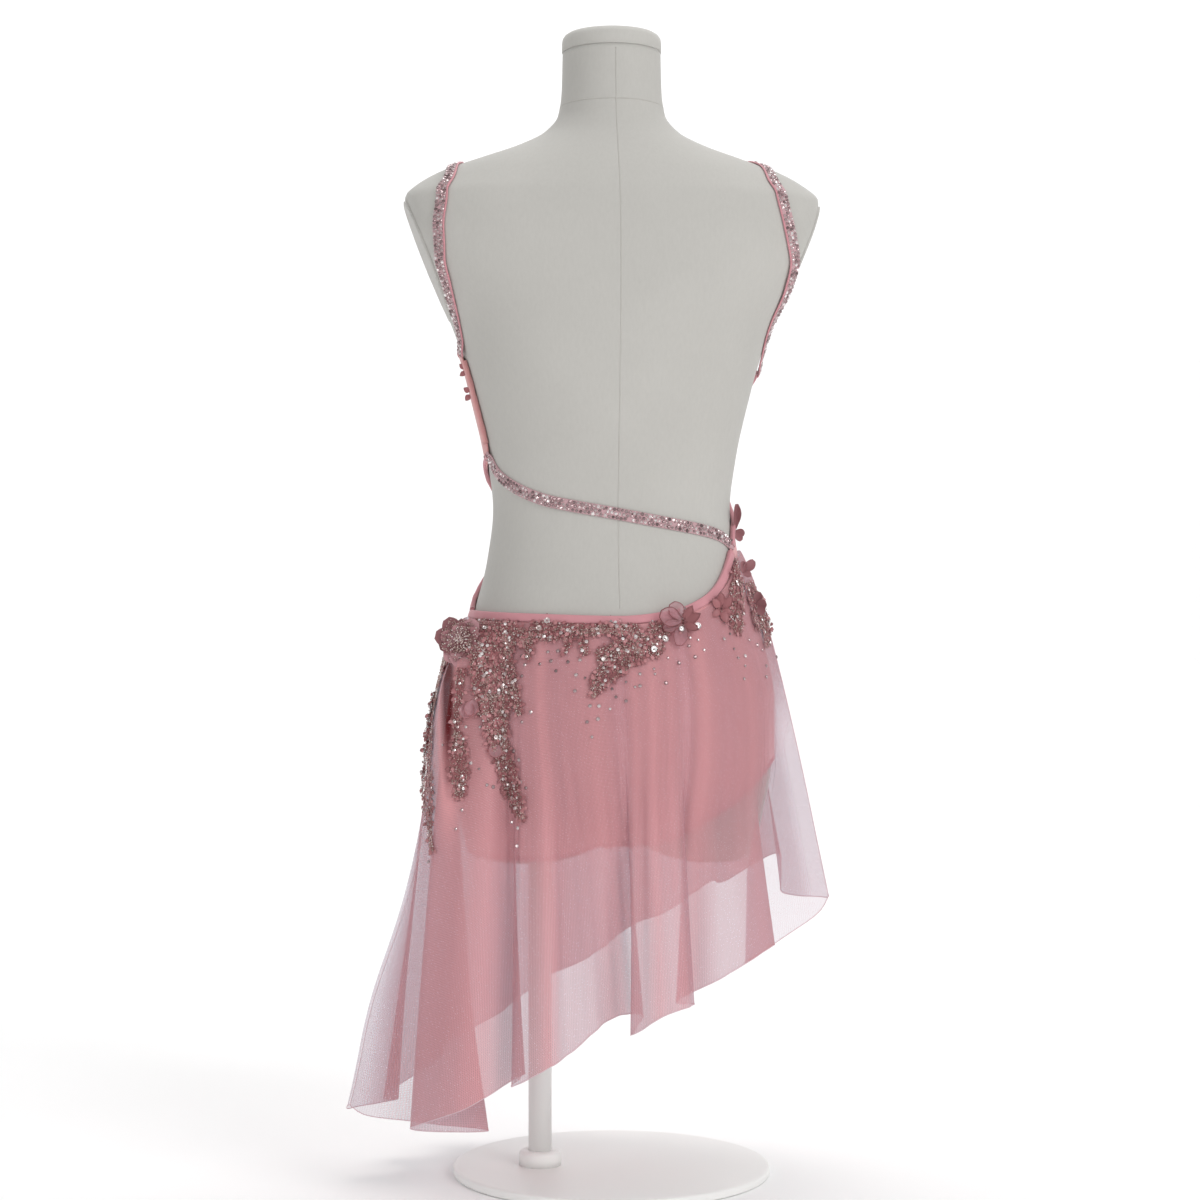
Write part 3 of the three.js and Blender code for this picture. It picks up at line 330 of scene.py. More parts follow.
# Nylon net, knitted, with bonded film flakes: a veil that tints what is behind it and sparkles a little. The
# gaps' cool grey tint, greyer where the net is denser, is partly the net's own and partly painted shade.
# The tone is how dense the net is up to 1, and from 1 to 2 how far its yarn is darkened by painted shade, for
# the crease at the left hip. Real holes are near 0.6 mm and flakes 1 mm; both are drawn coarser to show.
def glitterMesh(name, yarn, paintedShadeYarn, veilAndShade, film, thin, thick, netMm=1.2, flakeMm=2.7):
    made, tree = newMaterial(name)
    place = node(tree, "UVMap", {"uv_map": "cloth"})
    tone = node(tree, "Attribute", {"attribute_name": "tone"}).outputs["Fac"]
    net = node(tree, "TexVoronoi", {"feature": "DISTANCE_TO_EDGE", "voronoi_dimensions": "2D"},
               {"Vector": place, "Scale": 1 / netMm, "Randomness": 0.25})
    thread = node(tree, "ValToRGB", {}, {"Fac": net}, stops=[(0.1, 1.0), (0.3, 0.0)])
    density = node(tree, "MapRange", {}, {"Value": tone, "To Min": thin, "To Max": thick})
    uneven = node(tree, "Math", {"operation": "MULTIPLY_ADD"}, {0: thread, 1: 0.35, 2: 0.82})
    cover = node(tree, "Math", {"operation": "MULTIPLY"}, {0: density, 1: uneven})
    depth = node(tree, "Math", {"operation": "SUBTRACT"}, {0: tone, 1: 1})
    # Painted shade: a tone above 1 darkens the yarn towards a near-black red.
    yarnWithPaintedShade = node(tree, "ValToRGB", {}, {"Fac": depth}, stops=[(0.0, yarn), (0.8, paintedShadeYarn)])
    finish = {"Base Color": yarnWithPaintedShade, "Roughness": 0.8, "Sheen Weight": 0.1, "Specular IOR Level": 0.2}
    front = node(tree, "BsdfPrincipled", {}, finish)
    through = node(tree, "BsdfTranslucent", {}, {"Color": yarnWithPaintedShade})
    cloth = node(tree, "MixShader", {}, {0: 0.22, 1: front, 2: through})
    # Partly painted shade: the gaps grey what shows through them, more where the net is denser.
    gapTintAndShade = node(tree, "ValToRGB", {}, {"Fac": tone}, stops=[(0.0, "#f0f8fc"), (0.55, veilAndShade)])
    gaps = node(tree, "BsdfTransparent", {}, {"Color": gapTintAndShade})
    sheer = node(tree, "MixShader", {}, {0: cover, 1: gaps, 2: cloth})
    flakes = node(tree, "TexVoronoi", {"voronoi_dimensions": "2D"},
                  {"Vector": place, "Scale": 1 / flakeMm, "Randomness": 1.0})
    small = node(tree, "ValToRGB", {}, {"Fac": flakes}, stops=[(0.05, 0.8), (0.09, 0.0)])
    chance = node(tree, "ValToRGB", {}, {"Fac": flakes.outputs["Color"]}, stops=[(0.5, 0.0), (0.62, 1.0)])
    bright = {"Base Color": linear(film), "Roughness": 0.35, "Metallic": 0.3}
    glitter = node(tree, "BsdfPrincipled", {}, bright)
    mask = node(tree, "Math", {"operation": "MULTIPLY"}, {0: small, 1: chance})
    both = node(tree, "MixShader", {}, {0: mask, 1: sheer, 2: glitter})
    node(tree, "OutputMaterial", {}, {"Surface": both})
    return made


# Polyester net, corded and stiff: opaque yarn with open cells where the skirt shows through.
def cordedNet(name, yarn, shade, cellMm=1.7, cloudMm=4, openShare=0.5):
    made, tree = newMaterial(name)
    place = node(tree, "UVMap", {"uv_map": "cloth"})
    cells = node(tree, "TexVoronoi", {"feature": "DISTANCE_TO_EDGE", "voronoi_dimensions": "2D"},
                 {"Vector": place, "Scale": 1 / cellMm, "Randomness": 0.9})
    hole = node(tree, "ValToRGB", {}, {"Fac": cells}, stops=[(0.12, 0.0), (0.22, openShare)])
    clouds = node(tree, "TexNoise", {}, {"Vector": place, "Scale": 1 / cloudMm, "Detail": 2})
    colour = node(tree, "ValToRGB", {}, {"Fac": clouds}, stops=[(0.35, shade), (0.65, yarn)])
    cloth = node(tree, "BsdfPrincipled", {}, {"Base Color": colour, "Roughness": 0.6, "Sheen Weight": 0.2})
    both = node(tree, "MixShader", {}, {0: hole, 1: cloth, 2: node(tree, "BsdfTransparent")})
    node(tree, "OutputMaterial", {}, {"Surface": both})
    return made


# Small things that differ from one to the next, each by its own tone: rayon yarn with a silky lustre,
# satin, lined glass, foiled glass and metallised film that flash and go dark.
def tonedPieces(name, tones, roughness, metallic=0.0, sheen=0.0):
    made, tree = newMaterial(name)
    tone = node(tree, "Attribute", {"attribute_name": "tone"}).outputs["Fac"]
    colour = node(tree, "ValToRGB", {}, {"Fac": tone}, stops=tones)
    finish = {"Base Color": colour, "Roughness": roughness, "Metallic": metallic, "Sheen Weight": sheen}
    node(tree, "OutputMaterial", {}, {"Surface": node(tree, "BsdfPrincipled", {}, finish)})
    return made


# Polyester satin, woven and stiffened: light comes through it, and it is darker where two lie together.
def sheerPetal(name, yarn, clear, cover, cloudMm=3.333):
    made, tree = newMaterial(name)
    place = node(tree, "TexCoord").outputs["Object"]
    finish = {"Base Color": linear(yarn), "Roughness": 0.45, "Sheen Weight": 0.3}
    front = node(tree, "BsdfPrincipled", {}, finish)
    through = node(tree, "BsdfTranslucent", {}, {"Color": linear(yarn)})
    cloth = node(tree, "MixShader", {}, {0: 0.3, 1: front, 2: through})
    gaps = node(tree, "BsdfTransparent", {}, {"Color": linear(clear)})
    clouds = node(tree, "TexNoise", {}, {"Vector": place, "Scale": 1 / (cloudMm * mm), "Detail": 2})
    share = node(tree, "MapRange", {}, {"Value": clouds, "To Min": cover - 0.12, "To Max": cover + 0.12})
    node(tree, "OutputMaterial", {}, {"Surface": node(tree, "MixShader", {}, {0: share, 1: gaps, 2: cloth})})
    return made


# Studio paper, calendered: matt and even.
def paper(name, colour, cloudMm=333.3):
    made, tree = newMaterial(name)
    place = node(tree, "TexCoord").outputs["Object"]
    clouds = node(tree, "TexNoise", {}, {"Vector": place, "Scale": 1 / (cloudMm * mm), "Detail": 1})
    shade = node(tree, "ValToRGB", {}, {"Fac": clouds}, stops=[(0.0, colour), (1.0, "#ffffff")])
    node(tree, "OutputMaterial", {}, {"Surface": node(tree, "BsdfDiffuse", {}, {"Color": shade})})
    return made


formLinen = linenCover("form cover, linen-look cotton, pulled smooth", "#bfbdb8", "#b7b5b0")
# Painted shade: the seam cover is a little darker than the form cover, for the shade along each seam.
seamLinenShaded = linenCover("form cover seam, folded linen", "#bdbab5", "#b5b2ac")
formTrim = linenCover("form cap and arm plates, linen over board", "#c2c0bb", "#bbb9b4")
powderCoat = smoothCoat("stand steel, white powder coat", "#f4f3f1", 0.45)
jersey = stretchJersey("dress jersey, knitted pink", "#eaaeaf", "#e1a3a6")
bindingJersey = stretchJersey("binding jersey, knitted and folded", "#d899a1", "#cb8b93")
bodiceJersey = stretchJersey("bodice jersey, knitted coral pink", "#dba09e", "#d09392")
# "#6a1a20" below is painted shade, the colour the skirt yarn darkens to in the hip crease.
meshName = "skirt mesh, knitted sheer with glitter"
# "#b6d4dc" tints the gaps of the denser net, partly as painted shade.
skirtMesh = glitterMesh(meshName, "#e9a9ad", "#6a1a20", "#b6d4dc", "#eadfe4", thin=0.27, thick=0.93)
hemYarn = smoothCoat("hem roll, overlocked yarn", "#d9bcc3", 0.7)
strapElastic = stretchJersey("strap elastic, woven pink", "#c7a5a9", "#bc969b", 0.8)
laceNet = cordedNet("applique ground, corded net", "#ab6b6e", "#8f5053")
yarnTones = [(0, "#7f4649"), (0.5, "#a4666a"), (1, "#bf8588")]
beadTones = [(0, "#8a6661"), (0.4, "#b59a93"), (0.8, "#d6c8c3"), (1, "#ffffff")]
stoneTones = [(0, "#6e5c5d"), (0.3, "#a58d8f"), (0.75, "#cdbdbd"), (1, "#fbf7f7")]
filmTones = [(0, "#cbb7b4"), (1, "#ffffff")]
satinTones = [(0, "#7d4a4e"), (0.5, "#9a656a"), (1, "#b5858b")]
laceYarn = tonedPieces("applique leaves, embroidered rayon", yarnTones, 0.5, sheen=0.2)
beadGlass = tonedPieces("seed beads, silver lined glass", beadTones, 0.3, 0.4)
stoneGlass = tonedPieces("rhinestones, cut glass with foil back", stoneTones, 0.16, 0.6)
sequinFilm = tonedPieces("cup sequins, metallised film", filmTones, 0.15, 0.6)
petalNet = tonedPieces("petals, gathered mauve satin", satinTones, 0.55, sheen=0.3)
petalSatin = sheerPetal("petals, stiffened sheer satin", "#d3a6ad", "#f3dfe3", 0.55)
print("materials made")


formShape = {
    "bottom": 302, "neckSeam": 1062, "around": 288, "ringStep": 3.6, "bottomRings": (0.2, 0.5, 0.8, 0.96),
    "bustLift": 9.5, "bustApart": 72, "bustWidth": 56, "bustZ": 778, "bustTall": 62, "bustFrom": 40,
    "splitDepth": 0.09, "splitHalf": 46, "splitRise": 20, "riseWidth": 44, "fadeTop": 390,
    "armSlope": 0.4, "armOffset": 169.5, "armFoot": 788, "armTop": 960, "armRound": 6, "armFade": 60,
    "plateInset": 5.5, "plateFoot": 0.1, "plateSteps": 44, "capAround": 96,
}
formSections = table(
    "z half back front power",
    (302, 132, 112, 92, 2.3), (334, 141, 120, 95, 2.3), (391, 151, 125, 98, 2.3),
    (448, 152, 119, 100, 2.25), (490, 145, 107, 99, 2.2), (534, 130, 92, 94, 2.15),
    (581, 118, 80, 87, 2.1), (629, 112.5, 76, 84, 2.1), (676, 118, 82, 92, 2.1),
    (733, 130.5, 93, 103, 2.15), (771, 141, 99, 107, 2.2), (800, 152, 103, 106, 2.25),
    (835, 178, 106, 101, 2.3), (860, 198, 105, 96, 2.4), (890, 211, 103, 88, 2.4),
    (919, 203, 96, 78, 2.4), (933, 186, 90, 72, 2.3), (945, 165, 84, 67, 2.25),
    (958, 129, 76, 61, 2.2), (971, 92, 68, 55, 2.1), (985, 65, 60, 49, 2.0),
    (1002, 51, 54, 46, 2.0), (1025, 47.5, 50, 45, 2.0), (1062, 46.5, 48, 46, 2.0),
)
formHalf, formBack, formFront, formPower = (
    smoothColumn(formSections, "z", name) for name in ("half", "back", "front", "power")
)


def formRadius(deg, z):
    c, s = np.abs(np.cos(np.radians(deg))), np.sin(np.radians(deg))
    depth = np.where(s > 0, formFront(z), formBack(z))
    n = formPower(z)
    return ((c / formHalf(z)) ** n + (np.abs(s) / depth) ** n) ** (-1 / n)


# The form's underside rises a little in the middle, where legs would part.
def splitRise(x, fade):
    return formShape["splitRise"] * fade * bell(x, formShape["riseWidth"])


def formPoint(deg, z):
    deg, z = np.broadcast_arrays(np.asarray(deg, float), np.asarray(z, float))
    r = formRadius(deg, z)
    x, y = r * np.cos(np.radians(deg)), r * np.sin(np.radians(deg))
    bust = bell(np.abs(x) - formShape["bustApart"], formShape["bustWidth"])
    bust = bust * bell(z - formShape["bustZ"], formShape["bustTall"])
    y = y + np.where(y > 0, formShape["bustLift"] * bust * np.minimum(1, y / formShape["bustFrom"]), 0)
    fade = np.clip((formShape["fadeTop"] - z) / (formShape["fadeTop"] - formShape["bottom"]), 0, 1) ** 2
    y = y * (1 - formShape["splitDepth"] * fade * bell(x, formShape["splitHalf"]))
    return np.stack([x, y, z + splitRise(x, fade)], -1)


# A surface's normal from its points a step away on each side.
def normalOf(surface, a, b, stepA, stepB):
    alongA = surface(a + stepA, b) - surface(a - stepA, b)
    alongB = surface(a, b + stepB) - surface(a, b - stepB)
    return unit(np.cross(alongA, alongB))


# Points of the form raised by lift along its normal.
def onForm(deg, z, lift):
    deg, z = np.broadcast_arrays(np.asarray(deg, float), np.asarray(z, float))
    return formPoint(deg, z) + normalOf(formPoint, deg, z, 0.5, 0.5) * np.asarray(lift, float)[..., None]


def addForm():
    shape = formShape
    degs = np.linspace(0, 360, shape["around"], endpoint=False)
    rings = []
    for scale in shape["bottomRings"]:
        edge = formPoint(degs, shape["bottom"])
        x, y = edge[:, 0] * scale, edge[:, 1] * scale
        rings.append(np.stack([x, y, shape["bottom"] + splitRise(x, 1)], -1))
    count = round((shape["neckSeam"] - shape["bottom"]) / shape["ringStep"])
    for z in np.linspace(shape["bottom"], shape["neckSeam"], count + 1):
        ring = formPoint(degs, z)
        if z > shape["armFoot"]:
            limit = shape["armSlope"] * ring[:, 2] - shape["armOffset"]
            above = smoothStep(z, shape["armFoot"], shape["armFoot"] + shape["armFade"])
            soft = shape["armRound"] * above + 0.5
            reach = np.abs(ring[:, 0])
            cut = np.minimum(reach, limit) - soft * np.log1p(np.exp(-np.abs(reach - limit) / soft))
            ring[:, 0] = np.sign(ring[:, 0]) * cut
        rings.append(ring)
    torso = addMesh("torsoForm", *ringSolid(rings), formLinen)
    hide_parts("form_torso")


# How far each ring of a shoulder plate is out from the cut, and in from its edge.
plateRings = ((-3, 0), (-0.4, 0), (0.2, 2), (0.55, 6), (0.7, 12))


# The flat end of a shoulder: the torso's outline on the cutting plane, with a softly rounded edge.
def addArmPlate(side, cadNode):
    shape = formShape
    heights = np.linspace(shape["armFoot"] + 1, shape["armTop"], 1200)
    limit = shape["armSlope"] * heights - shape["armOffset"]
    share = 1 - (np.maximum(limit, 0) / formHalf(heights)) ** formPower(heights)
    heights, share = heights[share > 0], share[share > 0]
    turn = (1 - np.cos(np.linspace(0, math.pi, shape["plateSteps"]))) / 2
    z = heights[0] + mix(shape["plateFoot"], 1, turn) * (heights[-1] - heights[0])
    share = np.interp(z, heights, share) ** (1 / formPower(z))
    front, back = share * formFront(z), -share * formBack(z)
    outline = np.concatenate([np.stack([front, z], -1), np.stack([back, z], -1)[-2:0:-1]])
    middle = outline.mean(0)
    rings = []
    for out, inward in plateRings:
        ring = outline - unit(outline - middle) * (shape["plateInset"] + inward)
        x = shape["armSlope"] * ring[:, 1] - shape["armOffset"] + out * math.hypot(1, shape["armSlope"])
        rings.append(np.stack([side * x, ring[:, 0], ring[:, 1]], -1))
    plate = addMesh(cadNode.replace("form_arm_plate", "armPlate"), *ringSolid(rings), formTrim)
    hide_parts(cadNode)


neckCapRows = table(
    "up scale", (0.3, 1.0), (0.8, 1.014), (9, 1.014), (12.5, 1.003), (15.3, 0.965), (17.3, 0.9),
    (18.4, 0.8), (18.9, 0.66), (19, 0.3),
)


def addNeckCap():
    degs = np.linspace(0, 360, formShape["capAround"], endpoint=False)
    neck = formPoint(degs, formShape["neckSeam"])
    rings = []
    for row in neckCapRows:
        ring = neck * (row["scale"], row["scale"], 0)
        rings.append(ring + (0, 0, formShape["neckSeam"] + row["up"]))
    cap = addMesh("neckCap", *ringSolid(rings), formTrim)
    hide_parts("form_neck_cap")


# Seams of the cover: a narrow folded ridge along each line of angles and heights, a little darker than the
# cover with painted shade.
seamLook = {"lift": 0.05, "steps": 160, "section": [(-0.5, 0), (-0.2, 0.07), (0.2, 0.07), (0.5, 0)]}
centreSeam = table("deg z", (270, 535), (270, 620), (270, 700), (270, 850), (270, 960), (270, 1058))
neckSeam = table("deg z", *[(deg, 1010) for deg in range(150, 400, 10)])


def addFormSeams():
    parts = []
    for rows in (centreSeam, neckSeam):
        at = bodyLine(rows)(np.linspace(0, 1, seamLook["steps"]))
        up = normalOf(formPoint, at[:, 0], at[:, 1], 0.5, 0.5)
        parts.append(sweep(onForm(at[:, 0], at[:, 1], seamLook["lift"]), up, seamLook["section"]))
    addMesh("formSeams", *joined(parts), seamLinenShaded)


standShape = {
    "baseRadius": 150, "baseThickness": 8, "baseMiddle": 60, "poleX": -68, "poleRadius": 11, "poleTop": 355,
    "collarRadius": 20, "collarHeight": 14, "collarTop": 12,
}


# A turned solid on an upright line at x, from pairs of a radius and a height.
def lathe(outline, x, around):
    turn = np.linspace(0, 2 * math.pi, around, endpoint=False)
    c, s = np.cos(turn), np.sin(turn)
    return ringSolid([np.stack([x + r * c, r * s, np.full(around, z)], -1) for r, z in outline])


def addStand():
    s = standShape
    r, t, inner = s["baseRadius"], s["baseThickness"], s["baseMiddle"]
    c, top = s["collarRadius"], s["baseThickness"] + s["collarHeight"]
    rim = [(r - 2, 0), (r - 0.6, 0.6), (r, 2), (r, t - 2), (r - 0.6, t - 0.6), (r - 2, t), (r - 6, t)]
    plate = [(inner, 0)] + rim + [(inner, t)]
    pole = [(s["poleRadius"], t), (s["poleRadius"], s["poleTop"])]
    collar = [(c, t), (c, top - 3.4), (c - 0.8, top - 1.6), (c - 3, top), (s["collarTop"], top)]
    for name, outline, x, around, cadNode in (
        ("standBase", plate, 0, 96, "stand_base"),
        ("standPole", pole, s["poleX"], 48, "stand_pole"),
        ("standCollar", collar, s["poleX"], 64, "stand_collar"),
    ):
        piece = addMesh(name, *lathe(outline, x, around), powderCoat)
        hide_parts(cadNode)


addForm()
addArmPlate(1, "form_arm_plate_right")
addArmPlate(-1, "form_arm_plate_left")
addNeckCap()
addFormSeams()
addStand()
print("form and stand built")


waistRows = table(
    "deg z", (0, 598), (30, 590), (60, 573), (90, 558), (120, 546), (150, 537), (180, 533), (225, 529),
    (270, 527), (298, 532), (315, 543), (327, 557), (337, 576), (345, 593),
)
waistHeight = roundColumn(waistRows, "z")
legRows = table(
    "deg z", (0, 395), (20, 386), (45, 360), (65, 328), (80, 308), (100, 308), (115, 326), (135, 345),
    (155, 340), (172, 316), (184, 307), (230, 306), (276, 307), (288, 318), (305, 341), (318, 358),
    (332, 380), (345, 392),
)
legHeight = roundColumn(legRows, "z")

# lift is from the form to the middle of the cloth; ridge is how far a crease stands up.
jerseyLook = {
    "thickness": 1.1, "briefLift": 2.1, "bodiceLift": 2.4, "ridge": 0.7, "seamGap": 0.1,
    "elasticUp": 1.5, "elasticLift": 2.5, "aboveWaist": 0.3, "briefGrid": (160, 70), "bodiceGrid": (200, 110),
}
elasticSection = [(-2.2, -0.5), (-2.2, 0.4), (-1.2, 0.9), (1.2, 0.9), (2.2, 0.4), (2.2, -0.5)]
legOpenings = ((100, 260), (280, 440))


# Long shallow creases and short ones over an angle and a height.
def softCreases(deg, z, ridge):
    long = 0.5 * np.sin(deg / 7 + 2 * np.sin(z / 41)) * bell(np.sin(z / 60 + deg / 33), 0.7)
    short = 0.3 * np.sin(deg / 3.1 + z / 19)
    return ridge * (long + short)


def addBrief(name, fromDeg, toDeg, cadNode):
    u, v = unitGrid(*jerseyLook["briefGrid"])
    deg = mix(fromDeg + jerseyLook["seamGap"], toDeg - jerseyLook["seamGap"], u)
    z = mix(legHeight(deg), waistHeight(deg), v)
    points = onForm(deg, z, jerseyLook["briefLift"] + softCreases(deg, z, jerseyLook["ridge"]))
    brief = addCloth(name, points, jersey, jerseyLook["thickness"])
    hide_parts(cadNode)
    return points


briefBack = addBrief("briefBack", 180, 360, "brief_back")
addBrief("briefFront", 0, 180, "brief_front")


def addLegElastic():
    parts = []
    for fromDeg, toDeg in legOpenings:
        deg = np.linspace(fromDeg, toDeg, 240)
        path = onForm(deg, legHeight(deg) + jerseyLook["elasticUp"], jerseyLook["elasticLift"])
        up = normalOf(formPoint, deg, legHeight(deg), 0.5, 0.5)
        parts.append(sweep(path, up, elasticSection))
    elastic = addMesh("legElastic", *joined(parts), bindingJersey)


gussetShape = {
    "halfWidth": 14, "seamZ": 304.8, "out": 2.1, "below": 4.3, "turnAt": 0.93, "columns": 8, "rows": 24,
}


# The strip between the legs, from the back seam under the form to the front one.
def addGusset():
    shape = gussetShape
    grid = []
    for x in np.linspace(-shape["halfWidth"], shape["halfWidth"], shape["columns"] + 1):
        ends = []
        for sign in (-1, 1):
            middle = formPoint(sign * 90.0, shape["seamZ"])
            p = formPoint(math.degrees(math.atan2(middle[1], x)), shape["seamZ"])
            ends.append(np.array([x, p[1] + sign * shape["out"], p[2]]))
        low = formShape["bottom"] + splitRise(x, 1) - shape["below"]
        turns = [[x, end[1] * shape["turnAt"], low] for end in ends]
        knots = np.array([ends[0], turns[0], [x, 0, low], turns[1], ends[1]])
        share = lengths(knots) / lengths(knots)[-1]
        t = np.linspace(0, 1, shape["rows"] + 1)
        grid.append(np.stack([np.interp(t, share, knots[:, k]) for k in range(3)], -1))
    gusset = addCloth("briefGusset", np.array(grid), jersey, jerseyLook["thickness"])
    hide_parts("brief_gusset")


necklineRows = table(
    "deg z", (188, 772), (170, 781), (147, 820), (130, 862), (117, 833), (104, 783), (90, 748), (76, 783),
    (63, 833), (50, 862), (33, 820), (14, 782), (4, 762),
)
leftEdgeRows = table(
    "deg z", (184, 533.4), (171, 552), (158, 582), (155, 612), (160, 641), (173, 661), (190, 679),
    (189, 730), (188, 772),
)
rightEdgeRows = table("deg z", (-15, 593.4), (-8, 612), (8, 634), (21, 662), (24, 700), (16, 735), (4, 762))


# The front, wrapped round both sides: a sheet between its four edges.
def addBodice():
    u, v = unitGrid(*jerseyLook["bodiceGrid"])
    neckline, leftEdge, rightEdge = (bodyLine(rows) for rows in (necklineRows, leftEdgeRows, rightEdgeRows))
    lowerDeg = mix(leftEdgeRows[0]["deg"], rightEdgeRows[0]["deg"], u)
    lower = np.stack([lowerDeg, waistHeight(lowerDeg) + jerseyLook["aboveWaist"]], -1)
    upper, left, right = neckline(u), leftEdge(v), rightEdge(v)
    u, v = u[..., None], v[..., None]
    corners = lower[0, 0] * (1 - u) * (1 - v) + lower[-1, 0] * u * (1 - v)
    corners = corners + upper[0, 0] * (1 - u) * v + upper[-1, 0] * u * v
    at = lower * (1 - v) + upper * v + left * (1 - u) + right * u - corners
    lift = jerseyLook["bodiceLift"] + softCreases(at[..., 0], at[..., 1], jerseyLook["ridge"])
    points = onForm(at[..., 0], at[..., 1], lift)
    bodice = addCloth("bodiceFront", points, bodiceJersey, jerseyLook["thickness"])
    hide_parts("bodice_front")
    return points


addLegElastic()
addGusset()
bodiceGrid = addBodice()
print("brief and bodice built")


# One row for each crest or turn of a fold. top is its angle on the waist seam; x and y its place at
# the hem; drop is how far the hem hangs below the slant there. leave and open are how soon the cloth
# leaves the hips and the fold opens: below 1 near the waist, above 1 near the hem.
skirtFolds = table(
    "name top x y drop leave open",
    ("rightCorner", 0, 207, -8, 3, 0.72, 0.72),
    ("frontRightValley", 14, 170, 38, 0, 0.72, 1.4),
    ("frontRightCrest", 27, 172, 84, 0, 0.75, 1.2),
    ("frontValleyA", 40, 122, 106, 0, 0.75, 1.7),
    ("frontCrestA", 53, 112, 152, 0, 0.8, 1.7),
    ("frontValleyB", 66, 66, 134, 0, 0.8, 1.7),
    ("frontCrestB", 79, 36, 176, 0, 0.8, 1.7),
    ("frontValleyC", 93, -12, 146, 0, 0.8, 1.7),
    ("frontCrestC", 107, -56, 182, 0, 0.8, 1.7),
    ("frontValleyD", 121, -100, 142, 0, 0.75, 1.7),
    ("frontCrestD", 135, -150, 152, 0, 0.75, 1.7),
    ("frontValleyE", 149, -164, 98, 0, 0.7, 1.6),
    ("frontCrestE", 162, -216, 76, 0, 0.6, 1.6),
    ("frontValleyF", 175, -202, 30, 0, 0.5, 1.6),
    ("leftFlare", 187, -247, -10, -18, 0.8, 1.9),
    ("leftInnerTurn", 196, -120, -88, 44, 0.3, 1.2),
    ("leftOuterTurn", 203, -190, -122, 2, 0.3, 0.5),
    ("leftFace", 210, -142, -156, 0, 0.4, 1.2),
    ("tubeInnerTurn", 216, -91, -126, 0, 0.7, 1.5),
    ("tubeOuterTurn", 220, -102, -157, 0, 0.7, 1.5),
    ("tubeFace", 228, -74, -176, -4, 0.8, 1.6),
    ("tubeEnd", 238, -46, -150, -4, 0.8, 1.7),
    ("middleValley", 252, -10, -121, -10, 0.8, 1.7),
    ("middleInnerTurn", 265, 18, -123, 0, 0.8, 1.7),
    ("middleOuterTurn", 270, 5, -152, 7, 0.8, 1.7),
    ("middleFace", 284, 32, -172, 0, 0.8, 1.7),
    ("rightOuterTurn", 298, 60, -160, 5, 0.8, 1.7),
    ("rightInnerTurn", 303, 48, -132, 0, 0.8, 1.7),
    ("rightFace", 316, 92, -128, 0, 0.8, 1.7),
    ("cornerOuterTurn", 333, 142, -95, 0, 0.75, 1.5),
    ("cornerInnerTurn", 341, 121, -62, 10, 0.72, 1.5),
)
# ripple is the height of the small waves between the folds; streak how uneven the net's density is.
# foldedBack names the columns of the folds' hidden sides. A bulge is how far the left flare stands out,
# how far down the skirt, and over what length. The hem is a height at the middle and a slant, behind and
# in front.
skirtLook = {
    "belowWaist": 8.6, "bend": 2.5, "clearance": 4.6, "tuck": 0.8, "rowSpread": 1.25, "seamGap": 0.012,
    "columnsPerFold": 18, "rows": 110, "ripple": 1.5, "streak": 0.3,
    "leftThin": 0.42, "rightThin": 0.8, "thinWidth": 0.8,
    "foldedBack": (18.5, 23.5, 26.5, 29.5), "foldThin": 0.3, "foldWidth": 0.5,
    "bulges": ((9, 0.78, 0.16), (8, 0.2, 0.15)), "bulgeWidth": 0.9, "cornerRise": 7, "cornerWidth": 0.13,
    "hemBack": 160, "hemBackSlope": 0.47, "hemFront": 190, "hemFrontSlope": 0.6, "hemFrontY": 90,
    "hemRadius": 0.4, "seamRadius": 0.35,
}
foldCount = len(skirtFolds)
foldKeys = ("top", "x", "y", "drop", "leave", "open")
fold = {key: np.array([row[key] for row in skirtFolds], float) for key in foldKeys}
leftSeam = [row["name"] for row in skirtFolds].index("leftFlare")
seamHeight = waistHeight(fold["top"]) - skirtLook["belowWaist"]
foldTop = onForm(fold["top"], seamHeight, skirtLook["clearance"])
foldHem = mix(
    skirtLook["hemBack"] + skirtLook["hemBackSlope"] * fold["x"],
    skirtLook["hemFront"] + skirtLook["hemFrontSlope"] * fold["x"],
    smoothStep(fold["y"], 0, skirtLook["hemFrontY"]),
) - fold["drop"]

# Where the hem would run without its folds: each place averaged with its neighbours.
neighbours = [(k - 2, weight / 9) for k, weight in enumerate((1, 2, 3, 2, 1))]
unfolded = {key: sum(weight * np.roll(fold[key], -k) for k, weight in neighbours) for key in ("x", "y")}


# The line of one fold: fall runs from 0 at the waist to 1 at the hem.
def foldPoint(i, fall):
    i, fall = i % foldCount, np.maximum(fall, 0)
    flare, opening = fall ** fold["leave"][i], fall ** fold["open"][i]
    x, y = (
        mix(foldTop[i, k], unfolded[key][i], flare) + (fold[key][i] - unfolded[key][i]) * opening
        for k, key in enumerate("xy")
    )
    return np.stack([x, y, mix(foldTop[i, 2], foldHem[i], fall)], -1)


# Keeps the cloth outside the form: it rests on the hips and the seat, and hangs free below.
def clearOfForm(p):
    deg = np.degrees(np.arctan2(p[..., 1], p[..., 0]))
    below = np.maximum(0, formShape["bottom"] - p[..., 2])
    least = formRadius(deg, np.maximum(p[..., 2], formShape["bottom"])) + skirtLook["clearance"]
    r = np.hypot(p[..., 0], p[..., 1])
    gap = np.minimum((least - skirtLook["tuck"] * below - r) / skirtLook["bend"], 60)
    pushed = r + skirtLook["bend"] * np.log1p(np.exp(gap))
    return np.concatenate([p[..., :2] * (pushed / r)[..., None], p[..., 2:]], -1)


def skirtPoint(column, fall):
    i = np.floor(column).astype(int)
    knots = (foldPoint(i + k, fall) for k in (-1, 0, 1, 2))
    return clearOfForm(rounded(*knots, (column - i)[..., None]))


# How many folds a column is from the seam at the wearer's right.
def fromRightSeam(column):
    return np.minimum(column, foldCount - column)


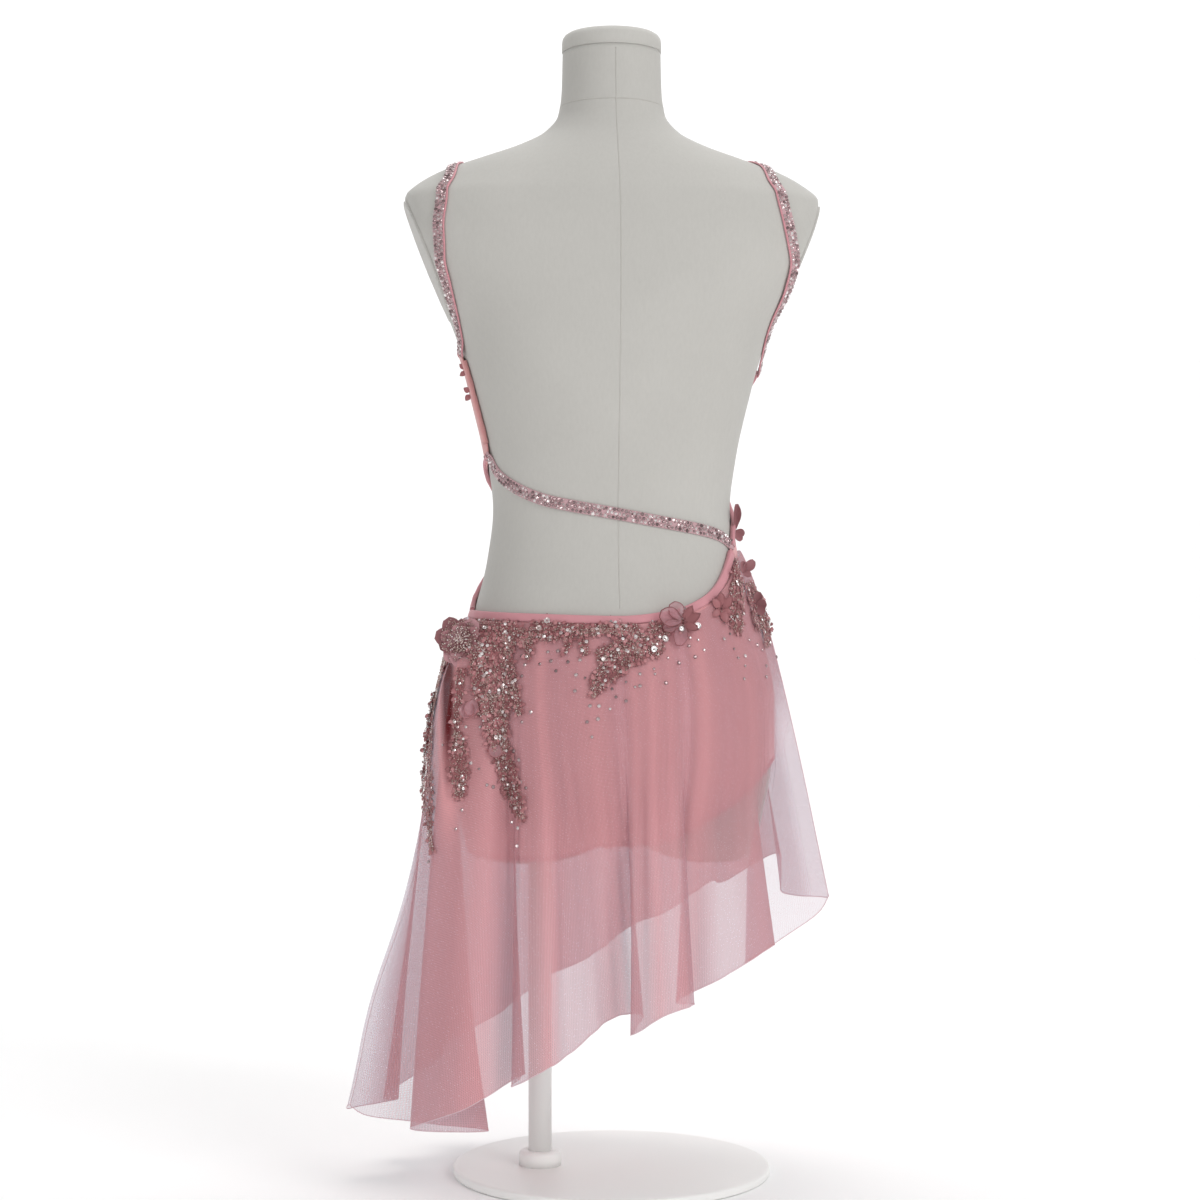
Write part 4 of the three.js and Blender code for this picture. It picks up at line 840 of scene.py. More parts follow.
# Small waves that start below the lace and differ from fold to fold.
def rippled(column, fall):
    look = skirtLook
    points = skirtPoint(column, fall)
    normal = normalOf(skirtPoint, column, fall, 0.01, 0.002)
    wave = np.sin(2 * math.pi * (1.9 * column + 0.3 * np.sin(1.7 * column)))
    wave = wave * (0.6 + 0.4 * np.sin(3.3 * column + 4 * fall))
    fine = 0.15 * np.sin(2 * math.pi * 3.3 * column + 3 * np.sin(2.2 * fall + column))
    reach = smoothStep(fall, 0.12, 0.6) * look["ripple"]
    bulge = sum(far * bell(fall - where, length) for far, where, length in look["bulges"])
    bulge = bulge * bell(column - leftSeam, look["bulgeWidth"])
    corners = bell(column - leftSeam, look["cornerWidth"]) + bell(fromRightSeam(column), look["cornerWidth"])
    points = points + np.stack([-bulge, 0 * bulge, look["cornerRise"] * corners * fall**6], -1)
    return points + normal * (reach * (0.8 * wave + fine))[..., None]


# The net looks denser in soft streaks down the cloth, where it was gathered and pressed.
def streaks(column, fall):
    slow = 0.5 * np.sin(2.6 * column + 1.3 * np.sin(0.9 * column))
    middle = 0.2 * np.sin(7.1 * column + 2 * np.sin(column) + 1.2 * fall)
    quick = 0.03 * np.sin(19.7 * column + 1.5 * fall)
    return 0.5 + skirtLook["streak"] * (slow + middle + quick)


# The two flares stand out singly and are stretched thinner than the rest, as are the folds' hidden sides.
def flareThinness(column, fall):
    look = skirtLook
    fromLeft = look["leftThin"] * bell(column - leftSeam, look["thinWidth"])
    fromRight = look["rightThin"] * bell(fromRightSeam(column), look["thinWidth"])
    folded = sum(bell(column - returning, look["foldWidth"]) for returning in look["foldedBack"])
    return np.maximum(fromLeft, fromRight) * smoothStep(fall, 0.2, 0.6) + look["foldThin"] * folded


# Where points fall in the camera's view, in its pixels from the top left.
def onView(points):
    away = points - eye
    depth = away @ cameraIn
    scale = shot["distance"] / pixel / depth
    across, down = (away @ cameraRight) * scale, away[..., 2] * scale
    return shot["pixels"] / 2 + across, shot["pixels"] / 2 - down


# Painted shade at the left hip: x, width and the four heights are pixels of the view; columns say which
# folds of the cloth it darkens.
paintedShadeArea = {
    "x": 448, "width": 9, "top": 645, "dark": 668, "fades": 690, "end": 875,
    "columns": (13.5, 14.1, 16.9, 17.4),
}


# Painted shade: below the hip flower, where the mesh is gathered deep, its yarn is darkened in a band of the
# view, down to where the fold opens.
def paintedHipShade(column, points):
    x, y = onView(points)
    enters, within, leaves, past = paintedShadeArea["columns"]
    inFold = smoothStep(column, enters, within) * (1 - smoothStep(column, leaves, past))
    down = smoothStep(y, paintedShadeArea["top"], paintedShadeArea["dark"])
    down = down * (1 - smoothStep(y, paintedShadeArea["fades"], paintedShadeArea["end"]))
    return inFold * bell(x - paintedShadeArea["x"], paintedShadeArea["width"]) * down


def addSkirtPanel(name, fromFold, toFold, cadNode):
    look = skirtLook
    u, v = unitGrid((toFold - fromFold) * look["columnsPerFold"], look["rows"])
    column = mix(fromFold + look["seamGap"], toFold - look["seamGap"], u)
    fall = v ** look["rowSpread"]
    points = rippled(column, fall)
    density = np.clip(streaks(column, fall) - flareThinness(column, fall), 0, 1)
    # A tone above 1 carries the painted shade of the hip crease.
    panel = addCloth(name, points, skirtMesh, tone=mix(density, 2, paintedHipShade(column, points)))
    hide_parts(cadNode)
    return points


skirtBack = addSkirtPanel("skirtBack", leftSeam, foldCount, "skirt_back")
skirtFront = addSkirtPanel("skirtFront", 0, leftSeam, "skirt_front")


# The rolled hem, and a fine roll down the edge of each seam.
def addHemRoll():
    parts = []
    for points in (skirtBack, skirtFront):
        edge, inner = points[:, -1], points[:, -3]
        parts.append(sweep(edge, edge - inner, roundSection(skirtLook["hemRadius"])))
    for points in (skirtBack[0], skirtBack[-1]):
        aside = np.gradient(points, axis=0)[:, [1, 0, 2]]
        parts.append(sweep(points, aside, roundSection(skirtLook["seamRadius"])))
    addMesh("hemRoll", *joined(parts), hemYarn)


addHemRoll()
print("skirt built")


# What the applique is sewn to, for rays to land on.
def treeOf(grids):
    points = np.concatenate([grid.reshape(-1, 3) for grid in grids])
    faces, start = [], 0
    for grid in grids:
        faces += gridFaces(grid.shape[0] - 1, grid.shape[1] - 1, start=start).tolist()
        start += grid.shape[0] * grid.shape[1]
    return BVHTree.FromPolygons(points.tolist(), faces)


outerTree = treeOf([skirtBack, skirtFront, briefBack, bodiceGrid])


# A view gives the ray to a place and the directions that its two coordinates run in: the camera's own
# view in its pixels, and the wearer's left side in millimetres of y and z.
def backRay(x, y):
    right, up = (x - shot["pixels"] / 2) * pixel, (shot["pixels"] / 2 - y) * pixel
    return eye, cameraIn * shot["distance"] + cameraRight * right + (0, 0, up)


def leftSideRay(y, z):
    return np.array([-2000.0, y, z]), np.array([1.0, 0, 0])


backView = {
    "ray": backRay, "across": cameraRight * pixel, "down": np.array([0, 0, -pixel]),
    "middle": shot["pixels"] / 2,
}
leftSideView = {
    "ray": leftSideRay, "across": np.array([0, 1.0, 0]), "down": np.array([0, 0, 1.0]), "middle": 0,
}


# Points and outward normals of the cloth at places of a view. A place just past the cloth's edge
# hangs over it, up to overhang steps; places farther out give nothing.
def land(places, overhang=0, view=backView):
    at, out, found = [], [], []
    for k, (x, y) in enumerate(np.asarray(places, float)):
        inward = 1 if x < view["middle"] else -1
        for shift in range(overhang + 1):
            start, ray = view["ray"](x + inward * shift, y)
            hit, normal = outerTree.ray_cast(Vector(start), Vector(ray).normalized())[:2]
            if hit is not None:
                break
        if hit is None:
            continue
        if normal.dot(Vector(ray)) > 0:
            normal = -normal
        at.append(np.array(hit) - view["across"] * inward * shift)
        out.append(unit(np.array(normal) - unit(ray) * min(1, shift / 4)))
        found.append(k)
    return np.array(at).reshape(-1, 3), np.array(out).reshape(-1, 3), np.array(found, int)


# A direction on a view as one in space.
def inView(direction, view=backView):
    direction = np.asarray(direction, float)
    return direction[..., :1] * view["across"] + direction[..., 1:] * view["down"]


# rows and smallRows are how far each row of stones lies from the strap's middle line; gaps and smallGaps
# the share of stones left out.
strapLook = {
    "width": 11, "thickness": 2.0, "free": 0.35, "sewn": 3.0, "step": 2.5, "piping": 0.9, "pitch": 3.7,
    "rows": (-3.5, 0, 3.5), "stone": 1.72, "gaps": 0.05, "smallRows": (-1.8, 1.8), "small": 0.8,
    "smallGaps": 0.3,
}
frontStrapRows = table("toFront z", (50, 856), (44, 880), (36, 904), (26, 926))
leftStrapRows = table(
    "toFront z", (14, 943), (1, 952), (-11, 948), (-19, 936), (-23, 914), (-24, 888), (-23, 862),
    (-19, 828), (-13, 801), (-8, 774),
)
rightStrapRows = table(
    "toFront z", (14, 947), (1, 956), (-11, 953), (-20, 942), (-25, 923), (-26, 889), (-22, 857),
    (-17, 829), (-13, 805), (-8, 782), (3, 762),
)
backStrapRows = table(
    "deg z", (189, 680), (195, 662), (207, 647), (222, 636), (240, 629.5), (262, 624), (291, 617),
    (323, 608.5), (338, 602), (346, 594),
)


def onSide(rows, sign):
    return [{"deg": row["toFront"] if sign > 0 else 180 - row["toFront"], "z": row["z"]} for row in rows]


# A path at even steps along a line over the body, with the form's outward normals.
def evenPath(line, lift, step):
    t = np.linspace(0, 1, 600)
    at = line(t)
    rough = onForm(at[:, 0], at[:, 1], lift(t))
    travelled = lengths(rough)
    count = max(2, int(travelled[-1] / step))
    even = np.interp(np.linspace(0, travelled[-1], count + 1), travelled, t)
    at = line(even)
    return onForm(at[:, 0], at[:, 1], lift(even)), normalOf(formPoint, at[:, 0], at[:, 1], 0.5, 0.5)


# How high a strap lies: close to the form, and up on the cloth at its two sewn ends.
def sewnEnds(t):
    nearEnd = 1 - smoothStep(np.minimum(t, 1 - t), 0.012, 0.045)
    return mix(strapLook["free"], strapLook["sewn"], nearEnd)


# The quads between rings of as many corners each, one ring after another.
def ringFaces(rings, sides):
    corners = [(row, k, (k + 1) % sides) for row in range(rings - 1) for k in range(sides)]
    return [[row * sides + k, row * sides + after, (row + 1) * sides + after, (row + 1) * sides + k]
            for row, k, after in corners]


def ringPoints(rings, sides):
    turn = [2 * math.pi * k / sides for k in range(sides)]
    return [(r * math.cos(a), r * math.sin(a), z) for r, z in rings for a in turn]


# A low cut stone: girdle, crown and flat table.
def gemShape(sides=7):
    rings = ((1, 0), (0.95, 0.25), (0.52, 0.58))
    faces = ringFaces(len(rings), sides)
    return np.array(ringPoints(rings, sides)), faces + [list(range(2 * sides, 3 * sides))]


def addStrap(name, rows, cadNode):
    look = strapLook
    w, t = look["width"] / 2, look["thickness"]
    line = bodyLine(rows)
    path, up = evenPath(line, sewnEnds, look["step"])
    half = [(w, 0.1), (w, t * 0.55), (w - 0.7, t * 0.8), (w - 2, t * 0.8)]
    section = [(-x, height) for x, height in half] + half[::-1]
    band = addMesh(name, *sweep(path, up, section), strapElastic)
    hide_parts(cadNode)
    if cadNode != "strap_back":
        across = unit(np.cross(np.gradient(path, axis=0), up))
        sides = [path + across * side * (w + 0.4) + up * 0.9 for side in (-1, 1)]
        inner = min(sides, key=lambda side: np.abs(side[len(side) // 2, 0]))
        piping = addMesh(name + "Piping", *sweep(inner, up, roundSection(look["piping"])), bindingJersey)
    path, up = evenPath(line, sewnEnds, look["pitch"])
    across = unit(np.cross(np.gradient(path, axis=0), up))
    at, out, size = [], [], []
    for k, offset in enumerate(look["rows"] + look["smallRows"]):
        large = k < len(look["rows"])
        staggered = (np.roll(path, -1, 0) - path)[:-1] * (0.5 * (k % 2))
        keep = rng.random(len(path) - 1) > look["gaps" if large else "smallGaps"]
        aside = across[:-1] * (offset + rng.normal(0, 0.2, (len(path) - 1, 1)))
        at.append((path[:-1] + staggered + aside + up[:-1] * t * 0.8)[keep])
        out.append((up[:-1] + rng.normal(0, 0.1, up[:-1].shape))[keep])
        size.append(look["stone" if large else "small"] * rng.uniform(0.85, 1.08, keep.sum()))
    at, out, size = np.concatenate(at), np.concatenate(out), np.concatenate(size)
    tone = rng.beta(1.2, 1.4, len(at))
    stones = scatter(name + "Stones", gemShape(), at, out, stoneGlass, scale=size, tone=tone)


addStrap("strapLeft", onSide(frontStrapRows + leftStrapRows, -1), "strap_left")
addStrap("strapRight", onSide(frontStrapRows + rightStrapRows, 1), "strap_right")
addStrap("strapBack", backStrapRows, "strap_back")


bindingLook = {
    "width": 8, "sideWidth": 6, "edgeWidth": 5, "thickness": 1.6, "lift": 3.5, "under": -2.6, "step": 2.5,
    "puff": 0.12, "belowEdge": 3, "belowWaist": 3.5,
}


# The section of a folded binding: a soft top with its two edges tucked under.
def foldedSection(width):
    w, under = width / 2, bindingLook["under"]
    turn = np.linspace(0, math.pi, 9)
    up = bindingLook["thickness"] * (0.45 + 0.55 * np.sin(turn) ** 0.6)
    return np.concatenate([[(-w, under)], np.stack([-w * np.cos(turn), up], -1), [(w, under)]])


def addBinding(name, line, width, material, cadNode=None):
    look = bindingLook
    path, up = evenPath(line, lambda t: np.full(np.shape(t), look["lift"]), look["step"])
    steps = np.arange(len(path))
    puff = 1 + look["puff"] * np.sin(steps * 0.9) * np.sin(steps * 0.17)
    section = foldedSection(width)[None] * np.stack([np.ones_like(puff), puff], -1)[:, None]
    band = addMesh(name, *sweep(path, up, section), material)
    if cadNode:
        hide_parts(cadNode)


# A line some way below a row of heights.
def lowered(rows, down):
    return bodyLine([{"deg": row["deg"], "z": row["z"] - down} for row in rows])


binderRows = [{"deg": deg, "z": float(waistHeight(deg))} for deg in np.linspace(184, 343, 28)]
sideRows = table("deg z", (188.4, 768), (189, 730), (190, 690))
waistLine = lowered(binderRows, bindingLook["belowWaist"])
neckLine = lowered(necklineRows[1:-1], bindingLook["belowEdge"])
for name, line, width, material, cadNode in (
    ("backWaistBinding", waistLine, "width", bindingJersey, "back_waist_binding"),
    ("sideBindingLeft", bodyLine(sideRows), "sideWidth", bodiceJersey, "side_binding_left"),
    ("necklineBinding", neckLine, "edgeWidth", bindingJersey, None),
    ("edgeBindingLeft", bodyLine(leftEdgeRows[:7]), "edgeWidth", bindingJersey, None),
    ("edgeBindingRight", bodyLine(rightEdgeRows), "edgeWidth", bindingJersey, None),
):
    addBinding(name, line, bindingLook[width], material, cadNode)
print("straps and bindings built")


# A spray of embroidery from one place to another, in pixels of the view from behind: half widths at its
# start, middle and end, and how far its middle bows to the right of the straight line.
sprays = table(
    "name x0 y0 x1 y1 w0 w1 w2 bow",
    ("hipCluster", 486, 616, 506, 700, 12, 17, 16, 0),
    ("hipInner", 474, 640, 486, 716, 6, 9, 8, 0),
    ("branchTop", 498, 690, 500, 752, 16, 13, 10, -3),
    ("branchLow", 500, 742, 523, 819, 10, 11, 2, -2),
    ("branchSide", 506, 680, 520, 716, 6, 6, 2, 2),
    ("creaseEdge", 462, 668, 456, 738, 4, 4, 3, 0),
    ("flareEdge", 435, 692, 429, 738, 2, 3, 4, 0),
    ("outerTail", 431, 728, 434, 851, 4, 6, 1, -4),
    ("middleCluster", 459, 732, 460, 798, 4, 10, 4, 0),
    ("bandA", 500, 628, 532, 640, 8, 10, 6, 0),
    ("bandB", 530, 630, 562, 632, 6, 12, 8, 0),
    ("bandDropA", 530, 636, 528, 660, 6, 5, 2, 0),
    ("bandDropB", 512, 640, 510, 656, 6, 5, 3, 0),
    ("bandC", 564, 625, 592, 632, 5, 8, 5, 0),
    ("bandDropC", 570, 630, 566, 654, 6, 4, 2, 0),
    ("bandDropD", 583, 630, 585, 656, 6, 5, 3, 0),
    ("bandE", 594, 626, 634, 630, 6, 8, 6, 0),
    ("dropWing", 592, 634, 640, 632, 3, 8, 8, 6),
    ("centreDrop", 640, 652, 592, 697, 10, 13, 3, -8),
    ("centreDropTop", 596, 658, 640, 644, 7, 10, 9, 0),
    ("rightRun", 634, 640, 662, 652, 9, 10, 7, 0),
    ("rightRise", 648, 626, 668, 636, 6, 8, 6, 0),
    ("petalCentre", 684, 612, 682, 634, 3, 5, 3, 0),
    ("rightLobeA", 736, 580, 738, 634, 5, 9, 4, -3),
    ("rightLobeB", 746, 582, 758, 630, 4, 7, 5, 3),
    ("rightLobeC", 755, 592, 766, 648, 3, 5, 3, 3),
    ("rightStem", 731, 556, 738, 584, 2, 4, 4, 0),
    ("starCentre", 721, 602, 721, 614, 3, 5, 3, 0),
)
# The same round on the wearer's left hip, in millimetres of y and z.
sideSprays = table(
    "name x0 y0 x1 y1 w0 w1 w2 bow",
    ("sideTop", -30, 496, 14, 484, 3, 8, 8, 3),
    ("sideFall", 0, 488, 20, 402, 9, 10, 3, 3),
    ("sideFront", 6, 488, 44, 468, 8, 8, 3, -3),
)
sprayGroups = ((sprays, backView), (sideSprays, leftSideView))
# leafArea, beadArea and stoneArea are the square pixels of spray that one leaf, bead or stone has;
# overhang is how far a spray may stand past the cloth's edge, and tear the longest gap its ground spans.
appliqueLook = {
    "lift": 1.2, "overhang": 12, "tear": 14, "leafMm": 4.6, "leafLift": 1.7, "leafArea": 11,
    "beadMm": 0.66, "beadLift": 2.3, "beadArea": 3.2, "stoneMm": 1.6, "stoneLift": 2.4, "stoneArea": 130,
}


def sprayPoint(spray, s, side):
    start, end = (np.array([spray["x" + k], spray["y" + k]], float) for k in "01")
    along = unit(end - start)
    across = np.array([-along[1], along[0]])
    s, side = np.asarray(s, float), np.asarray(side, float)
    half = np.interp(s, [0, 0.5, 1], [spray["w0"], spray["w1"], spray["w2"]])
    bow = -spray["bow"] * 4 * s * (1 - s)
    places = start + (end - start) * s[..., None] + across * (bow + side * half)[..., None]
    return places, along, across


def sprayLength(spray):
    return math.hypot(spray["x1"] - spray["x0"], spray["y1"] - spray["y0"])


# Places at random over a spray, one for each area of it.
def inSpray(spray, area):
    width = (spray["w0"] + 2 * spray["w1"] + spray["w2"]) / 2
    count = max(1, round(sprayLength(spray) * width / area))
    side = rng.uniform(-1, 1, count)
    places, along, across = sprayPoint(spray, rng.random(count), side)
    return places, side, along, across


# One cloth of patches that follow what they are sewn to; a patch is a grid of places in a view.
def addPatches(name, patches, material, lift):
    points, faces, places, start = [], [], [], 0
    for flat, view in patches:
        columns, rows = flat.shape[0] - 1, flat.shape[1] - 1
        at, out, found = land(flat.reshape(-1, 2), appliqueLook["overhang"], view)
        index = -np.ones(flat.shape[0] * flat.shape[1], int)
        index[found] = start + np.arange(len(found))
        points.append(at + out * lift)
        places.append(flat.reshape(-1, 2)[found] * pixel)
        for face in gridFaces(columns, rows):
            corners = index[face]
            if (corners < 0).any():
                continue
            if np.ptp(points[-1][corners - start], axis=0).max() < appliqueLook["tear"]:
                faces.append(corners.tolist())
        start += len(found)
    return addMesh(name, np.concatenate(points), faces, material, uv=np.concatenate(places))


# The lace ground ends in small scallops.
def addLaceGround():
    patches = []
    for rows, view in sprayGroups:
        for k, spray in enumerate(rows):
            long = sprayLength(spray)
            u, v = unitGrid(8, max(6, round(long / 2)))
            edge = 0.72 + 0.3 * np.abs(np.sin(v * long / 6 + k))
            patches.append((sprayPoint(spray, v, (2 * u - 1) * edge)[0], view))
    lace = addPatches("laceGround", patches, laceNet, appliqueLook["lift"])
    return lace


# An embroidered leaf with a cord round its edge, one unit long.
def leafShape(width=0.34, rise=0.12):
    rows = np.linspace(0, 1, 5)
    half = width * np.sin(math.pi * rows**0.8) ** 0.75
    half[-1] = 0.01
    points = [(s, side * h, rise * (1 - 0.8 * abs(side)) * math.sin(math.pi * s) + 0.03)
              for s, h in zip(rows, half) for side in (-1, 0, 1)]
    faces = gridFaces(4, 2).tolist()
    edge = [(s, h, 0.05) for s, h in zip(rows, half)]
    outline = np.array(edge + [(s, -h, up) for s, h, up in edge[-2:0:-1]])
    cord = sweep(outline, np.tile([0, 0, 1.0], (len(outline), 1)), roundSection(0.06, 3), closed=True)
    return joined([(np.array(points), faces), cord])


# A seed bead with a closed tip, one unit in radius.
def roundBead():
    rings, sides = ((0.95, -0.3), (0.85, 0.55)), 5
    points, faces = ringPoints(rings, sides), ringFaces(len(rings), sides)
    faces += [[sides + k, sides + (k + 1) % sides, len(points)] for k in range(sides)]
    return np.array(points + [(0, 0, 1.05)]), faces


beadShape = roundBead()
sequinRings = ((0.28, 0.1), (0.6, 0.02), (1, 0.3))
sequinShape = np.array(ringPoints(sequinRings, 10)), ringFaces(len(sequinRings), 10)


# All landed places of one kind: points, outward normals and headings.
def sprayed(area):
    at, out, along = [], [], []
    for rows, view in sprayGroups:
        for spray in rows:
            places, side, forward, across = inSpray(spray, area)
            landed, normal, found = land(places, appliqueLook["overhang"], view)
            lean = np.radians(20 + 50 * np.abs(side) + rng.normal(0, 18, len(side)))[:, None]
            heading = forward * np.cos(lean) + across * np.sign(side)[:, None] * np.sin(lean)
            at.append(landed)
            out.append(normal)
            along.append(inView(heading[found], view))
    return np.concatenate(at), np.concatenate(out), np.concatenate(along)


def addSprays():
    look = appliqueLook
    at, out, along = sprayed(look["leafArea"])
    at = at + out * look["leafLift"] * rng.uniform(0.8, 1.25, (len(at), 1))
    size = look["leafMm"] * rng.uniform(0.6, 1.15, len(at))
    leaves = scatter("appliqueLeaves", leafShape(), at, out, laceYarn, along=along, scale=size, smooth=True)
    at, out, along = sprayed(look["beadArea"])
    size = look["beadMm"] * rng.uniform(0.65, 1.15, len(at))
    tone = rng.beta(1.0, 2.1, len(at))
    beads = scatter("seedBeads", beadShape, at + out * look["beadLift"], out, beadGlass,
                    along=along, scale=size, tone=tone, smooth=True)
    at, out, along = sprayed(look["stoneArea"])
    size = look["stoneMm"] * rng.uniform(0.75, 1.2, len(at))
    tone = rng.uniform(0.5, 1, len(at))
    stones = scatter("clusterStones", gemShape(), at + out * look["stoneLift"], out, stoneGlass,
                     along=along, scale=size, tone=tone)


laceMesh = addLaceGround()
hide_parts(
    "lace_left_hip", "lace_back_band", "lace_back_drop", "lace_right_run", "lace_right_hip",
    "lace_tail_outer", "lace_tail_middle", "lace_tail_inner",
)
addSprays()

# Stones glued one by one below the lace, in pixels of the view from behind.
fallingStones = table(
    "x y",
    (525, 665), (540, 664), (551, 661), (548, 652), (558, 651), (509, 657), (522, 656), (507, 664),
    (516, 675), (522, 676), (556, 671), (580, 660), (568, 662), (576, 675), (585, 678), (575, 691),
    (590, 706), (599, 706), (610, 709), (587, 722), (598, 719), (592, 737), (626, 701), (616, 697),
    (612, 689), (640, 674), (654, 669), (626, 682), (640, 686), (668, 658), (679, 663), (695, 657),
    (666, 683), (655, 674), (635, 687), (704, 650), (690, 638), (698, 640), (689, 646), (724, 639),
    (730, 634), (734, 649), (738, 658), (744, 679), (745, 666), (745, 656), (762, 650), (766, 666),
    (766, 677), (776, 657), (520, 700), (531, 712), (522, 722), (514, 751), (519, 760), (521, 782),
    (526, 788), (512, 822), (518, 828), (517, 846), (471, 763), (479, 769), (487, 785), (493, 787),
    (460, 788), (462, 810), (456, 829), (480, 727), (466, 727), (437, 700), (443, 745), (429, 862),
    (661, 603), (732, 602), (743, 591), (749, 640), (757, 645),
)


def addFallingStones():
    places = np.array([[row["x"], row["y"]] for row in fallingStones], float)
    at, out = land(places)[:2]
    size, tone = rng.uniform(1.3, 1.95, len(at)), rng.uniform(0.1, 0.9, len(at))
    stones = scatter("fallingStones", gemShape(), at + out * 0.4, out, stoneGlass, scale=size, tone=tone)


cupSequins = table(
    "x y size", (680, 630, 2.6), (686, 612, 2.3), (722, 606, 2.2), (696, 627, 3.3), (664, 640, 3.3),
    (682, 611, 3.2), (653, 650, 3.0), (548, 622, 3.0), (540, 629, 2.6), (678, 616, 2.8), (603, 660, 2.2),
    (500, 688, 2.2), (494, 738, 2.2), (485, 630, 2.0),
)


def addSequins():
    at, out, found = land([[row["x"], row["y"]] for row in cupSequins])
    size = np.array([cupSequins[k]["size"] for k in found])
    tilted = out + rng.normal(0, 0.15, out.shape)
    sequins = scatter("cupSequins", sequinShape, at + out * 3.2, tilted, sequinFilm, scale=size, smooth=True)


addFallingStones()
addSequins()


# A cupped petal from its root outwards, one unit long.
petalGrid = 8
petalWidth = 0.42


def petalShape(width=petalWidth, cup=0.25):
    rows, sides = np.linspace(0, 1, petalGrid + 1), np.linspace(-1, 1, petalGrid + 1)
    half = width * np.sin(math.pi * (0.06 + 0.86 * rows**1.2)) ** 0.7
    points = [(s, side * h, cup * (0.7 * s**2 + 0.9 * (side * h / width) ** 2))
              for s, h in zip(rows, half) for side in sides]
    return np.array(points), gridFaces(petalGrid, petalGrid).tolist()


# One row a petal, from its root to its tip in pixels of the view from behind; width is a share of its
# length, and rise how far its tip stands up from the cloth.
petalRows = table(
    "x0 y0 x1 y1 width rise kind",
    (681, 621, 659, 615, 0.4, 0.15, "sheer"), (681, 619, 671, 604, 0.42, 0.15, "sheer"),
    (682, 624, 677, 646, 0.3, 0.15, "sheer"), (680, 623, 663, 629, 0.32, 0.1, "sheer"),
    (470, 702, 465, 718, 0.42, 0.2, "sheer"), (474, 700, 470, 716, 0.4, 0.25, "sheer"),
    (497, 744, 492, 756, 0.5, 0.2, "sheer"), (684, 622, 700, 614, 0.28, 0.2, "leaf"),
    (684, 623, 698, 630, 0.28, 0.2, "leaf"), (684, 621, 692, 606, 0.28, 0.2, "leaf"),
    (721, 607, 720, 592, 0.28, 0.2, "leaf"), (722, 608, 732, 597, 0.3, 0.25, "leaf"),
    (722, 609, 732, 613, 0.3, 0.2, "leaf"), (722, 610, 726, 624, 0.28, 0.2, "leaf"),
    (720, 610, 711, 617, 0.3, 0.2, "leaf"), (720, 608, 711, 599, 0.3, 0.25, "leaf"),
    (755, 603, 757, 591, 0.42, 0.3, "gathered"), (756, 606, 766, 603, 0.5, 0.3, "gathered"),
    (755, 608, 764, 614, 0.45, 0.3, "gathered"), (735, 529, 734, 504, 0.17, 0.1, "gathered"),
    (735, 531, 744, 535, 0.42, 0.3, "gathered"), (735, 533, 740, 542, 0.4, 0.3, "gathered"),
    (743, 573, 740, 561, 0.33, 0.2, "gathered"), (743, 572, 753, 560, 0.34, 0.3, "gathered"),
    (743, 574, 751, 575, 0.4, 0.3, "gathered"), (465, 369, 460, 364, 0.35, 0.3, "leaf"),
    (466, 372, 460, 376, 0.35, 0.3, "leaf"), (470, 392, 464, 388, 0.4, 0.3, "leaf"),
    (470, 395, 466, 401, 0.4, 0.3, "leaf"),
)
petalLook = {"reach": 30, "lift": 2.6, "facing": 0.5, "wire": 0.03}


# The wired edge of a petal.
def petalEdge():
    grid = petalShape()[0].reshape(petalGrid + 1, petalGrid + 1, 3)
    outline = np.concatenate([grid[:, 0], grid[-1, 1:-1], grid[::-1, -1]])
    up = np.tile([0, 0, 1.0], (len(outline), 1))
    return sweep(outline, up, roundSection(petalLook["wire"], 3))


def addPetals(name, kind, shape, material):
    look = petalLook
    at, out, along, size = [], [], [], []
    for row in petalRows:
        if row["kind"] == kind:
            (root,), (normal,) = land([[row["x0"], row["y0"]]], look["reach"])[:2]
            heading = inView([row["x1"] - row["x0"], row["y1"] - row["y0"]])
            length = np.linalg.norm(heading)
            at.append(root - cameraIn * look["lift"])
            out.append(unit(look["facing"] * unit(normal) - cameraIn) - heading / length * row["rise"])
            along.append(heading)
            size.append((length, length * row["width"] / petalWidth, length))
    tone = np.linspace(0.1, 0.6, len(at))
    size = np.array(size)
    petals = scatter(name, shape, at, out, material, along=along, scale=size, tone=tone, smooth=True)
    return petals


hipFlower = {
    "x": 462, "y": 641, "petals": 9, "size": 22, "rings": 3, "rise": 0.12, "lift": 5, "facing": 0.35,
    "rays": 14, "rayBeads": 6, "rayFrom": 1.9, "rayStep": 1.75, "rayLift": 4.6, "rayBead": 0.85,
    "edgeBeads": 260, "edge": (8, 20), "edgeLift": 4.0, "jitter": 0.4,
}


